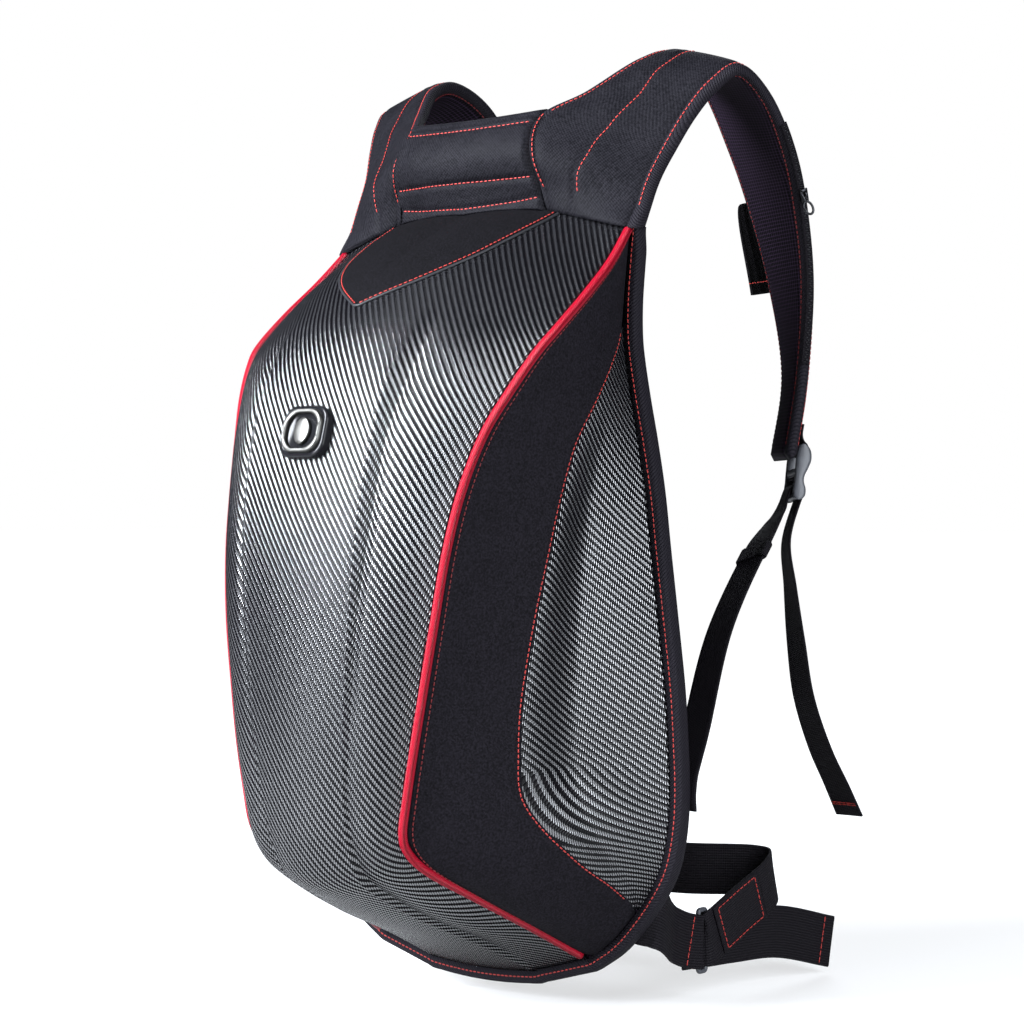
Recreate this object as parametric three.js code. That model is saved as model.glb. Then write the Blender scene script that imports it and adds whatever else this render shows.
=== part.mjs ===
// A hard-shell motorcycle backpack: a moulded front shell with piped side panels, a padded back
// panel with a taped edge, a neck yoke, two shoulder straps with their adjusters and a waist belt.
// Millimetres. X is to the right as seen from the front, the shell faces -Y, the wearer is at +Y,
// and Z is up. The origin lies in the flat rear face of the back panel, where the bag meets the
// wearer, on the middle line and a little above half of the bag's height.
import * as THREE from 'three';
import { mergeVertices } from 'three/addons/utils/BufferGeometryUtils.js';

// Driving sizes of the bag
const bag_width = 293;
const bag_height = 458;
const bag_depth = 172;
const shell_wall = 3;
const panel_wall = 2.5;
const back_thickness = 9;
const tape_width = 7.3;
const tape_bevel = 1.2;
const piping_diameter = 5;
const flank_crown = 5;
const side_crown = 5;
const inset_recess = 9;
const top_panel_half = 65;
const top_panel_wall = 1.2;
const clearance = 0.3;

// Driving sizes of the yoke and straps
const yoke_pad = 16;
const strap_pad = 11;
const strap_edge_pad = 7;
const strap_rise = 100;
const strap_reach = 190;
const zip_width = 5;
const zip_height = 2;
const pull_ring_diameter = 8;
const pull_ring_wire = 1.6;

// Driving sizes of the buckles, webbing and belt
const webbing_width = 20;
const webbing_thickness = 1.6;
const buckle_length = 34;
const buckle_width = 30;
const buckle_thickness = 5;
const tail_drop = 199;
const keeper_length = 12;
const belt_width = 32;
const belt_thickness = 1.8;
const ring_wire = 3;
const ring_depth = 10;
const patch_thickness = 1.2;
const tab_reach = 19;

// Driving sizes of the badge
const badge_width = 34;
const badge_height = 30;
const badge_corner = 8;
const badge_thickness = 4.5;
const badge_ring_width = 29;
const badge_ring_height = 24.5;
const badge_ring_band = 3.6;
const badge_ring_thickness = 2.2;

// Mesh fineness
const shell_steps = 30;
const side_steps = 26;
const piping_steps = 40;
const strap_steps = 20;

const half_width = bag_width / 2;
const back_front = back_thickness + clearance;
const shell_reach = bag_depth - back_front;

// One row per section down the bag, from the neck seam to the foot. Across is a share of half the
// bag's width, out a share of the depth in front of the back panel, and up a share of the height.
// pipe: the piping; dip: the groove beside the middle ridge; ridge: its edge; mid: the middle line;
// edge: where the side panel meets the back; inset: how far back the side inset starts.
const section_columns = ['pipe_across', 'pipe_out', 'pipe_up', 'dip_across', 'dip_out', 'dip_up',
  'ridge_across', 'ridge_out', 'mid_out', 'mid_up', 'edge_across', 'edge_up', 'inset'];
const sections = [
  [0.751, 0.000, 0.356, 0.396, 0.023, 0.386, 0.273, 0.052, 0.072, 0.386, 0.751, 0.356, 1.00],
  [0.778, 0.146, 0.306, 0.396, 0.228, 0.349, 0.273, 0.268, 0.287, 0.349, 0.737, 0.312, 1.00],
  [0.792, 0.299, 0.262, 0.400, 0.434, 0.301, 0.280, 0.471, 0.496, 0.306, 0.724, 0.262, 1.00],
  [0.785, 0.447, 0.218, 0.401, 0.600, 0.249, 0.287, 0.643, 0.674, 0.253, 0.724, 0.218, 0.93],
  [0.758, 0.520, 0.190, 0.396, 0.705, 0.207, 0.294, 0.742, 0.773, 0.212, 0.737, 0.183, 0.80],
  [0.710, 0.600, 0.146, 0.375, 0.797, 0.153, 0.290, 0.840, 0.852, 0.157, 0.765, 0.135, 0.67],
  [0.648, 0.677, 0.092, 0.362, 0.871, 0.092, 0.287, 0.902, 0.908, 0.094, 0.799, 0.083, 0.57],
  [0.601, 0.742, 0.024, 0.348, 0.914, 0.022, 0.280, 0.945, 0.957, 0.022, 0.833, 0.022, 0.52],
  [0.569, 0.788, -0.050, 0.328, 0.945, -0.052, 0.270, 0.969, 0.985, -0.052, 0.860, -0.048, 0.48],
  [0.536, 0.814, -0.133, 0.300, 0.960, -0.133, 0.253, 0.975, 0.997, -0.133, 0.894, -0.131, 0.43],
  [0.489, 0.828, -0.223, 0.273, 0.957, -0.223, 0.232, 0.972, 1.000, -0.223, 0.928, -0.218, 0.40],
  [0.454, 0.835, -0.286, 0.253, 0.951, -0.288, 0.218, 0.963, 0.994, -0.288, 0.942, -0.284, 0.405],
  [0.420, 0.834, -0.341, 0.232, 0.932, -0.345, 0.205, 0.945, 0.975, -0.349, 0.949, -0.338, 0.43],
  [0.396, 0.828, -0.382, 0.225, 0.902, -0.395, 0.191, 0.914, 0.945, -0.402, 0.942, -0.384, 0.53],
  [0.392, 0.791, -0.406, 0.225, 0.840, -0.434, 0.191, 0.852, 0.877, -0.450, 0.915, -0.428, 0.66],
  [0.406, 0.705, -0.430, 0.232, 0.711, -0.465, 0.191, 0.717, 0.730, -0.480, 0.867, -0.461, 0.82],
  [0.437, 0.527, -0.463, 0.253, 0.533, -0.498, 0.205, 0.539, 0.545, -0.511, 0.778, -0.500, 1.00],
  [0.485, 0.262, -0.511, 0.280, 0.268, -0.537, 0.225, 0.275, 0.275, -0.550, 0.669, -0.537, 1.00],
  [0.549, 0.000, -0.563, 0.307, 0.000, -0.585, 0.246, 0.000, 0.000, -0.594, 0.549, -0.563, 1.00],
];

// The shoulder strap from its root at the neck seam to the buckle: the inner and outer edges of its
// outer face, and the way its padding lies. Across is a share of half the bag's width, back a share
// of strap_reach and up a share of bag_height up to the neck seam, then of strap_rise above it.
const strap_columns = ['in_across', 'in_back', 'in_up', 'out_across', 'out_back', 'out_up',
  'pad_x', 'pad_y', 'pad_z'];
const strap_rows = [
  [0.396, -0.066, 0.00, 0.801, -0.049, -0.14, 0, 1, 0],
  [0.362, -0.153, 0.30, 0.805, 0.016, 0.12, 0, 1, 0],
  [0.335, -0.095, 0.55, 0.829, 0.079, 0.33, 0, 1, -0.15],
  [0.437, 0.032, 0.71, 0.874, 0.137, 0.54, -0.1, 0.85, -0.5],
  [0.546, 0.195, 0.93, 0.922, 0.200, 0.71, -0.1, 0.6, -0.8],
  [0.573, 0.347, 1.00, 0.976, 0.295, 0.84, -0.1, 0, -1],
  [0.573, 0.526, 0.86, 1.003, 0.421, 0.70, -0.15, -0.6, -0.8],
  [0.573, 0.695, 0.49, 0.997, 0.547, 0.44, -0.35, -0.85, -0.4],
  [0.580, 0.805, 0.13, 0.969, 0.653, 0.12, -0.45, -0.9, 0],
  [0.580, 0.937, -0.37, 0.928, 0.747, -0.37, -0.56, -0.83, 0],
  [0.594, 1.000, -0.91, 0.874, 0.779, -0.91, -0.7, -0.7, 0],
  [0.587, 0.937, -1.44, 0.833, 0.753, -1.44, -0.7, -0.7, 0.05],
];

const material = (color, roughness, metalness = 0) =>
  new THREE.MeshStandardMaterial({ color, roughness, metalness });
const carbon_leather = material(0x141418, 0.3);
const matte_fabric = material(0x1c1c20, 0.85);
const yoke_fabric = material(0x2a2b30, 0.9);
const red_piping = material(0xc8142c, 0.6);
const ribbed_tape = material(0x18161b, 0.8);
const black_webbing = material(0x0f0e12, 0.85);
const black_plastic = material(0x3c3d43, 0.45);
const gloss_black = material(0x0a0a0c, 0.15);
const satin_metal = material(0xdcdad2, 0.3, 0.9);
const mesh_fabric = material(0x1a1320, 0.9);

const vec = (x, y, z) => new THREE.Vector3(x, y, z);
const mix = (a, b, k) => a + (b - a) * k;
const lerp = (a, b, k) => a.clone().lerp(b, k);
const ease = (k) => k * k * (3 - 2 * k);
const ramp = (k, from, to) => ease(Math.min(1, Math.max(0, (k - from) / (to - from))));

// A smooth value through the rows of a table at share t of the way down it
function row_at(table, columns, t) {
  const last = table.length - 1;
  const place = Math.min(1, Math.max(0, t)) * last;
  const i = Math.min(last - 1, Math.floor(place));
  const f = place - i;
  const at = {};
  columns.forEach((column, c) => {
    const b = table[i][c];
    const d = table[i + 1][c];
    const a = i > 0 ? table[i - 1][c] : 2 * b - d;
    const e = i + 2 <= last ? table[i + 2][c] : 2 * d - b;
    at[column] = 0.5 * (2 * b + (d - a) * f + (2 * a - 5 * b + 4 * d - e) * f * f
      + (3 * b - a - 3 * d + e) * f * f * f);
  });
  return at;
}

const spot = (across, out, up) =>
  vec(across * half_width, -(back_front + Math.max(0, out) * shell_reach), up * bag_height);

// The lines that the bag's panels follow at share t down the bag, on its right side
function lines_at(t) {
  const row = row_at(sections, section_columns, t);
  return {
    pipe: spot(row.pipe_across, row.pipe_out, row.pipe_up),
    dip: spot(row.dip_across, row.dip_out, row.dip_up),
    ridge: spot(row.ridge_across, row.ridge_out, (row.dip_up + row.mid_up) / 2),
    mid: spot(0, row.mid_out, row.mid_up),
    edge: spot(row.edge_across, 0, row.edge_up),
    inset: Math.min(1, row.inset),
  };
}

// Unit vector square to a line and to the way down the bag, pointing out of the bag
function outward(from, to, t) {
  const step = 0.01;
  const before = lines_at(Math.max(0, t - step));
  const after = lines_at(Math.min(1, t + step));
  const down = after.pipe.clone().add(after.mid).sub(before.pipe).sub(before.mid);
  return down.cross(to.clone().sub(from)).normalize();
}

// A point of the shell's outer face: t down the bag, k from the middle line (0) to the piping (1)
const ridge_share = 0.38;
const dip_share = 0.52;
function shell_point(t, k) {
  const line = lines_at(t);
  if (k <= ridge_share) {
    const s = k / ridge_share;
    const p = lerp(line.mid, line.ridge, s * s);
    p.x = line.ridge.x * s;
    return p;
  }
  if (k <= dip_share) {
    const s = (k - ridge_share) / (dip_share - ridge_share);
    const p = lerp(line.ridge, line.dip, ease(s));
    p.x = mix(line.ridge.x, line.dip.x, s);
    return p;
  }
  const s = (k - dip_share) / (1 - dip_share);
  const crown = flank_crown * 4 * s * (1 - s) * ramp(t, 0, 0.15) * ramp(1 - t, 0, 0.1);
  return lerp(line.dip, line.pipe, s)
    .add(outward(line.dip, line.pipe, t).multiplyScalar(crown));
}

// The share of the shell's half width at which the outer face lies a given way across
function shell_share(t, across) {
  let low = 0;
  let high = 1;
  for (let i = 0; i < 24; i += 1) {
    const k = (low + high) / 2;
    if (shell_point(t, k).x < across) low = k; else high = k;
  }
  return (low + high) / 2;
}

// A point of the side's outer face: t down the bag, f from the piping (0) to the back edge (1)
function side_point(t, f) {
  const line = lines_at(t);
  const out = outward(line.pipe, line.edge, t);
  const slim = Math.min(1, line.pipe.distanceTo(line.edge) / (bag_depth / 2));
  let lift = side_crown * slim * 4 * f * (1 - f);
  if (f > line.inset) {
    const k = (f - line.inset) / (1 - line.inset);
    const valley = k < 0.4 ? ease(k / 0.4) : 1 - (k - 0.4) / 0.6;
    lift -= inset_recess * valley * ramp(t, 0.28, 0.45) * ramp(1 - t, 0.22, 0.36);
  }
  return lerp(line.pipe, line.edge, f).add(out.multiplyScalar(lift));
}

const mirror = (p) => vec(-p.x, p.y, p.z);

// Closed solid from flat lists of points and triangles
function solid(points, faces) {
  const geometry = new THREE.BufferGeometry();
  geometry.setAttribute('position',
    new THREE.Float32BufferAttribute(points.flatMap((p) => [p.x, p.y, p.z]), 3));
  geometry.setIndex(faces.flat());
  return geometry;
}

function signed_volume(points, faces) {
  return faces.reduce((sum, [a, b, c]) =>
    sum + points[a].dot(points[b].clone().cross(points[c])) / 6, 0);
}

// Closed solid whose faces are turned to point out
function outward_solid(points, faces) {
  const turned = signed_volume(points, faces) < 0 ? faces.map(([a, b, c]) => [a, c, b]) : faces;
  return solid(points, turned);
}

// A wall from a grid of points of its outer face, thickened towards the inside of the bag
function wall(grid, thickness, keep = (p) => p) {
  const rows = grid.length;
  const columns = grid[0].length;
  const at = (i, j) => grid[Math.min(rows - 1, Math.max(0, i))][Math.min(columns - 1, Math.max(0, j))];
  const outer = grid.flat();
  const inner = [];
  for (let i = 0; i < rows; i += 1) {
    for (let j = 0; j < columns; j += 1) {
      const along = at(i + 1, j).clone().sub(at(i - 1, j));
      const across = at(i, j + 1).clone().sub(at(i, j - 1));
      const normal = along.cross(across).normalize();
      inner.push(keep(at(i, j).clone().sub(normal.multiplyScalar(thickness))));
    }
  }
  return closed_pair(outer, inner, rows, columns);
}

// Two grids of points with the same rows and columns, closed round their rim
function closed_pair(outer, inner, rows, columns) {
  const points = [...outer, ...inner];
  const shift = rows * columns;
  const faces = [];
  const quad = (a, b, c, d) => faces.push([a, b, c], [a, c, d]);
  const id = (i, j) => i * columns + j;
  for (let i = 0; i + 1 < rows; i += 1) {
    for (let j = 0; j + 1 < columns; j += 1) {
      quad(id(i, j), id(i, j + 1), id(i + 1, j + 1), id(i + 1, j));
      quad(id(i, j) + shift, id(i + 1, j) + shift, id(i + 1, j + 1) + shift, id(i, j + 1) + shift);
    }
  }
  const rim = [];
  for (let j = 0; j + 1 < columns; j += 1) rim.push(id(0, j));
  for (let i = 0; i + 1 < rows; i += 1) rim.push(id(i, columns - 1));
  for (let j = columns - 1; j > 0; j -= 1) rim.push(id(rows - 1, j));
  for (let i = rows - 1; i > 0; i -= 1) rim.push(id(i, 0));
  rim.forEach((a, n) => {
    const b = rim[(n + 1) % rim.length];
    quad(a, a + shift, b + shift, b);
  });
  return outward_solid(points, faces);
}

// A solid through closed rings of points, all with as many points, with flat ends
function loft(rings) {
  const count = rings[0].length;
  const points = rings.flat();
  const faces = [];
  for (let i = 0; i + 1 < rings.length; i += 1) {
    for (let j = 0; j < count; j += 1) {
      const a = i * count + j;
      const b = i * count + (j + 1) % count;
      faces.push([a, b, b + count], [a, b + count, a + count]);
    }
  }
  const last = (rings.length - 1) * count;
  for (let j = 1; j + 1 < count; j += 1) {
    faces.push([0, j + 1, j], [last, last + j, last + j + 1]);
  }
  return outward_solid(points, faces);
}

// A round bar along a line of points
function round_bar(points, diameter, steps, sides = 8) {
  const circle = new THREE.Shape(Array.from({ length: sides }, (_, i) => {
    const angle = i * 2 * Math.PI / sides;
    return new THREE.Vector2(Math.cos(angle), Math.sin(angle)).multiplyScalar(diameter / 2);
  }));
  return closed_extrusion(new THREE.ExtrudeGeometry(circle,
    { steps, extrudePath: new THREE.CatmullRomCurve3(points), bevelEnabled: false }));
}

function closed_extrusion(geometry) {
  geometry.deleteAttribute('normal');
  geometry.deleteAttribute('uv');
  return mergeVertices(geometry);
}

// A rectangle about the origin, drawn on a shape or a hole, with its corners rounded by a radius
function rectangle(outline, width, height, radius) {
  const x = width / 2;
  const y = height / 2;
  if (radius === 0) {
    outline.moveTo(-x, -y);
    outline.lineTo(x, -y);
    outline.lineTo(x, y);
    outline.lineTo(-x, y);
    outline.closePath();
    return outline;
  }
  outline.moveTo(-x + radius, -y);
  outline.lineTo(x - radius, -y);
  outline.absarc(x - radius, -y + radius, radius, -Math.PI / 2, 0);
  outline.lineTo(x, y - radius);
  outline.absarc(x - radius, y - radius, radius, 0, Math.PI / 2);
  outline.lineTo(-x + radius, y);
  outline.absarc(-x + radius, y - radius, radius, Math.PI / 2, Math.PI);
  outline.lineTo(-x, -y + radius);
  outline.absarc(-x + radius, -y + radius, radius, Math.PI, 1.5 * Math.PI);
  return outline;
}

// A flat band along a line of points, with its width laid along one given way at each point
function band(points, ways, width, thickness) {
  const rings = points.map((p, i) => {
    const along = points[Math.min(points.length - 1, i + 1)].clone()
      .sub(points[Math.max(0, i - 1)]).normalize();
    const side = ways[i].clone().sub(along.clone().multiplyScalar(ways[i].dot(along))).normalize();
    const face = along.clone().cross(side);
    const corner = (s, f) => p.clone().addScaledVector(side, s * width / 2)
      .addScaledVector(face, f * thickness / 2);
    return [corner(1, 1), corner(-1, 1), corner(-1, -1), corner(1, -1)];
  });
  return loft(rings);
}

// Evenly spaced points of a smooth line through a few chosen ones
function smooth_line(points, steps) {
  return new THREE.CatmullRomCurve3(points).getSpacedPoints(steps);
}

const bag = new THREE.Group();
function add(name, geometry, finish) {
  const mesh = new THREE.Mesh(geometry, finish);
  mesh.name = name;
  bag.add(mesh);
  return mesh;
}

// A piece on the right side and its mirror image on the left
function add_pair(name, points_of, finish) {
  add(`${name}_right`, points_of((p) => p), finish);
  add(`${name}_left`, points_of(mirror), finish);
}

// Front shell, from piping to piping, open towards the back panel
const pipe_setback = piping_diameter / 2 + 2 * clearance;
const behind = (p) => vec(p.x, Math.min(p.y, -back_front), p.z);
function front_shell() {
  const columns = [0, 0.13, 0.26, ridge_share, 0.45, dip_share, 0.64, 0.76, 0.88];
  const grid = [];
  for (let i = 0; i <= shell_steps; i += 1) {
    const t = i / shell_steps;
    const line = lines_at(t);
    const reach = line.dip.distanceTo(line.pipe);
    const end = 1 - (1 - dip_share) * pipe_setback / reach;
    const half = [...columns, end].map((k) => behind(shell_point(t, k)));
    grid.push([...half.slice(1).reverse().map(mirror), ...half]);
  }
  return wall(grid, shell_wall, behind);
}
add('front_shell', front_shell(), carbon_leather);

// Matte top panel: a pointed leaf laid on the shell below the neck seam
const top_panel_columns = ['half'];
const top_panel_rows = [[1], [0.95], [0.87], [0.74], [0.48], [0.03]];
const top_panel_lift = 3 * clearance;
const top_panel_from = 0.4 / shell_steps;
function top_panel() {
  const steps = top_panel_rows.length - 1;
  const cells = 4;
  const grid = [];
  for (let i = 0; i <= steps; i += 1) {
    const t = Math.max(top_panel_from, i / shell_steps);
    const half = top_panel_half * row_at(top_panel_rows, top_panel_columns, i / steps).half;
    const row = [];
    for (let j = 0; j <= cells; j += 1) {
      const k = shell_share(t, half * j / cells);
      const here = shell_point(t, k);
      const beside = shell_point(t, k + 0.02).sub(here);
      const below = shell_point(t + 0.01, k).sub(here);
      const out = below.cross(beside).normalize();
      row.push(here.addScaledVector(out, top_panel_wall + top_panel_lift));
    }
    grid.push([...row.slice(1).reverse().map(mirror), ...row]);
  }
  return wall(grid, top_panel_wall);
}
add('top_panel', top_panel(), matte_fabric);

// Side panel and its inset, between the piping and the back edge
const side_from = 0.06;
const side_to = 0.97;
const inset_from = 0.17;
const inset_to = 0.865;
function side_wall(from, to, share_range, cells, turn) {
  const grid = [];
  for (let i = 0; i <= side_steps; i += 1) {
    const t = mix(from, to, i / side_steps);
    const line = lines_at(t);
    const chord = line.edge.clone().sub(line.pipe);
    const run = lines_at(t + 0.01).pipe.sub(lines_at(t - 0.01).pipe);
    line.clear = chord.clone().cross(run.normalize()).length();
    const [start, end] = share_range(line, chord.length());
    const row = [];
    for (let j = 0; j <= cells; j += 1) {
      row.push(behind(side_point(t, mix(start, end, j / cells))));
    }
    grid.push(turn === mirror ? row.map(turn).reverse() : row);
  }
  return wall(grid, panel_wall, behind);
}
const side_setback = pipe_setback + clearance;
const inset_seam = 5 * clearance;
add_pair('side_panel', (turn) => side_wall(side_from, side_to, (line, depth) =>
  [side_setback / line.clear, Math.max(2 * side_setback / line.clear, line.inset)], 5, turn),
matte_fabric);
add_pair('side_inset', (turn) => side_wall(inset_from, inset_to, (line, depth) =>
  [Math.min(1 - 2 * inset_seam / depth, line.inset + inset_seam / depth), 1], 7, turn),
carbon_leather);

// Red piping in the joint between the shell and each side panel
const piping_from = 0.012;
const piping_to = 0.99;
add_pair('piping', (turn) => {
  const points = [];
  for (let i = 0; i <= piping_steps; i += 1) {
    const t = mix(piping_from, piping_to, i / piping_steps);
    const line = lines_at(t);
    const out = outward(line.dip, line.pipe, t).add(outward(line.pipe, line.edge, t)).normalize();
    const p = line.pipe.clone().addScaledVector(out, piping_diameter * 0.25);
    p.y = Math.min(p.y, -back_front - piping_diameter / 2);
    points.push(turn(p));
  }
  return round_bar(points, piping_diameter, piping_steps);
}, red_piping);

// Outline of the bag in the plane of the back panel, as two-dimensional points (across, up), from
// the right end of the neck seam down the right side, round the foot and up the left side
const foot_steps = 10;
function edge_line(from) {
  const right = [];
  for (let i = 0; i <= side_steps; i += 1) {
    const edge = lines_at(mix(from, 1, i / side_steps)).edge;
    right.push(new THREE.Vector2(edge.x, edge.z));
  }
  const foot = [];
  for (let i = 1; i < foot_steps; i += 1) {
    const p = shell_point(1, 1 - i / foot_steps);
    foot.push(new THREE.Vector2(p.x, p.z));
  }
  const middle = shell_point(1, 0);
  const half = [...right, ...foot];
  return [...half, new THREE.Vector2(0, middle.z),
    ...half.slice().reverse().map((p) => new THREE.Vector2(-p.x, p.y))];
}

// The same line moved outwards
function grown(line, distance) {
  return line.map((p, i) => {
    const before = line[Math.max(0, i - 1)];
    const after = line[Math.min(line.length - 1, i + 1)];
    const way = after.clone().sub(before).normalize();
    return new THREE.Vector2(p.x - way.y * distance, p.y + way.x * distance);
  });
}

// A plate between the rear face of the back panel and back_thickness in front of it
function back_plate(outline, bevel) {
  const geometry = new THREE.ExtrudeGeometry(new THREE.Shape(outline), {
    depth: back_thickness - 2 * bevel, bevelEnabled: bevel > 0, bevelThickness: bevel,
    bevelSize: bevel, bevelOffset: -bevel, bevelSegments: 1, steps: 1,
  });
  geometry.translate(0, 0, bevel);
  geometry.rotateX(Math.PI / 2);
  return closed_extrusion(geometry);
}

const neck_steps = 8;
function neck_line() {
  const half = [];
  for (let i = 0; i < neck_steps; i += 1) {
    const p = shell_point(0, i / neck_steps);
    half.push(new THREE.Vector2(p.x, p.z));
  }
  return [...half.slice(1).reverse().map((p) => new THREE.Vector2(-p.x, p.y)), ...half];
}
add('back_panel', back_plate([...edge_line(0), ...neck_line()], 0), mesh_fabric);

// Woven tape round the back panel's edge, from one strap root round the foot to the other
const tape_from = 0.014;
add('edge_binding', back_plate([...grown(edge_line(tape_from), tape_width),
  ...grown(edge_line(tape_from), clearance).reverse()], tape_bevel), ribbed_tape);

// Shoulder strap: its outer face's edges and the way that its padding lies, t from root to buckle
const strap_last = strap_rows.length - 1;
const root_reach = 2 / strap_last;
function strap_at(t) {
  const row = row_at(strap_rows, strap_columns, t);
  const neck = shell_point(0, dip_share);
  const corner = lines_at(0).pipe;
  const place = (across, back, up) =>
    vec(across * half_width, back * strap_reach, neck.z + up * strap_rise);
  const inner = place(row.in_across, row.in_back, row.in_up);
  const outer = place(row.out_across, row.out_back, row.out_up);
  const root = row_at(strap_rows, strap_columns, 0);
  const fall = (corner.z - neck.z) / (corner.x - neck.x) * tape_width;
  const inner_root = vec(neck.x, neck.y, neck.z + clearance);
  const outer_root = vec(corner.x + tape_width, corner.y, corner.z + fall + clearance);
  const hold = 1 - ramp(t, 0, root_reach);
  inner.addScaledVector(inner_root.sub(place(root.in_across, root.in_back, root.in_up)), hold);
  outer.addScaledVector(outer_root.sub(place(root.out_across, root.out_back, root.out_up)), hold);
  return { inner, outer, pad: vec(row.pad_x, row.pad_y, row.pad_z).normalize() };
}

// A point of the strap: s from inner edge (0) to outer edge (1), face 0 outside and 1 at the lining
function strap_point(t, s, face) {
  const strap = strap_at(t);
  const crown = (strap_pad - strap_edge_pad) / 2 * 4 * s * (1 - s);
  const depth = face * strap_edge_pad + (2 * face - 1) * crown;
  return lerp(strap.inner, strap.outer, s).addScaledVector(strap.pad, depth);
}

const strap_cells = 4;
function strap_section(t) {
  const ring = [];
  for (let i = 0; i <= strap_cells; i += 1) ring.push(strap_point(t, i / strap_cells, 0));
  for (let i = strap_cells; i >= 0; i -= 1) ring.push(strap_point(t, i / strap_cells, 1));
  return ring;
}
add_pair('shoulder_strap', (turn) => {
  const rings = [];
  for (let i = 0; i <= strap_steps; i += 1) rings.push(strap_section(i / strap_steps).map(turn));
  return loft(rings);
}, yoke_fabric);

// Neck yoke: the padded panel between the strap roots, standing on the shell's upper edge
const yoke_crown = 5;
const yoke_steps = 10;
const yoke_rows = 4;
const yoke_dip = 2;
const yoke_roll = 3;
const yoke_seam = 5 * clearance;
function yoke_front(c, v) {
  const seam = strap_at(v * root_reach).inner;
  const x = c * (seam.x - yoke_seam);
  if (v === 0) {
    const foot = shell_point(0, shell_share(0, Math.abs(x)));
    return vec(x, foot.y, foot.z + clearance);
  }
  const middle = 1 - c * c;
  return vec(x, seam.y - yoke_crown * middle, seam.z - yoke_dip * v * v * middle);
}
function yoke() {
  const rings = [];
  for (let i = -yoke_steps / 2; i <= yoke_steps / 2; i += 1) {
    const c = 2 * i / yoke_steps;
    const front = [];
    for (let j = 0; j <= yoke_rows; j += 1) front.push(yoke_front(c, j / yoke_rows));
    const top = front[yoke_rows];
    const rear = front.slice().reverse().map((p) => vec(p.x, p.y + yoke_pad, p.z));
    rings.push([...front, vec(top.x, top.y + yoke_pad / 2, top.z + yoke_roll), ...rear]);
  }
  return loft(rings);
}
add('yoke', yoke(), yoke_fabric);

// Zip along the outer edge of the right strap, with its slider and pull
const zip_first = 12;
const zip_last = 18;
function strap_edge(t, away, deep) {
  const strap = strap_at(t);
  const across = strap.outer.clone().sub(strap.inner).normalize();
  return strap.outer.clone().addScaledVector(across, away).addScaledVector(strap.pad, deep);
}
function strap_zip() {
  const rings = [];
  const near = clearance;
  const far = clearance + zip_height;
  const shallow = (strap_edge_pad - zip_width) / 2;
  const deep = shallow + zip_width;
  for (let i = zip_first; i <= zip_last; i += 1) {
    const t = i / strap_steps;
    rings.push([strap_edge(t, near, shallow), strap_edge(t, near, deep),
      strap_edge(t, far, deep), strap_edge(t, far, shallow)]);
  }
  return loft(rings);
}
add('strap_zip', strap_zip(), black_plastic);

const slider_from = 14.2 / strap_steps;
const slider_to = 14.7 / strap_steps;
const slider_height = 2.4;
function zip_slider() {
  const low = zip_height + 3 * clearance;
  const high = low + slider_height;
  const shallow = (strap_edge_pad - zip_width) / 2;
  const deep = shallow + zip_width;
  return loft([slider_from, slider_to].map((t) => [strap_edge(t, low, shallow),
    strap_edge(t, low, deep), strap_edge(t, high, deep), strap_edge(t, high, shallow)]));
}
add('zip_slider', zip_slider(), satin_metal);

const pull_length = 16;
function zip_pull() {
  const shape = new THREE.Shape();
  const eye = pull_ring_diameter / 2;
  const neck = pull_ring_wire / 2;
  shape.moveTo(neck, 0);
  shape.lineTo(neck, -pull_length + 2 * eye);
  shape.absarc(0, -pull_length + eye, eye, Math.PI / 2 - 0.25, -1.5 * Math.PI + 0.25, true);
  shape.lineTo(-neck, 0);
  const hole = new THREE.Path();
  hole.absarc(0, -pull_length + eye, eye - pull_ring_wire, 0, 2 * Math.PI, false);
  shape.holes.push(hole);
  const geometry = new THREE.ExtrudeGeometry(shape,
    { depth: pull_ring_wire, bevelEnabled: false, curveSegments: 6 });
  return closed_extrusion(geometry);
}
const slider_middle = (slider_from + slider_to) / 2;
const pull_away = zip_height + slider_height + 5 * clearance + pull_ring_wire;
const pull = add('zip_pull', zip_pull(), satin_metal);
pull.position.copy(strap_edge(slider_middle, pull_away, strap_edge_pad / 2));
pull.rotation.set(0.35, -Math.PI / 5, 0.35);

// Tab for a chest strap, sewn to the inner edge of each shoulder strap
const tab_from = 7.9 / strap_last;
const tab_to = 9.0 / strap_last;
const tab_steps = 6;
const tab_wall = 1.6;
const tab_taper = 0.44;
const tab_droop = 0.25;
add_pair('chest_tab', (turn) => {
  const rings = [];
  for (let i = 0; i <= tab_steps; i += 1) {
    const k = i / tab_steps;
    const t = mix(tab_from, tab_to, k);
    const strap = strap_at(t);
    const across = strap.outer.clone().sub(strap.inner).normalize();
    const seat = strap.inner.clone().addScaledVector(across, -clearance)
      .addScaledVector(strap.pad, strap_edge_pad / 2);
    const reach = tab_reach * mix(tab_taper, 1, k);
    const free = seat.clone().addScaledVector(across, -reach);
    free.y -= reach * tab_droop * k;
    rings.push([seat, free, free.clone().addScaledVector(strap.pad, tab_wall),
      seat.clone().addScaledVector(strap.pad, tab_wall)].map(turn));
  }
  return loft(rings);
}, black_webbing);

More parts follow.
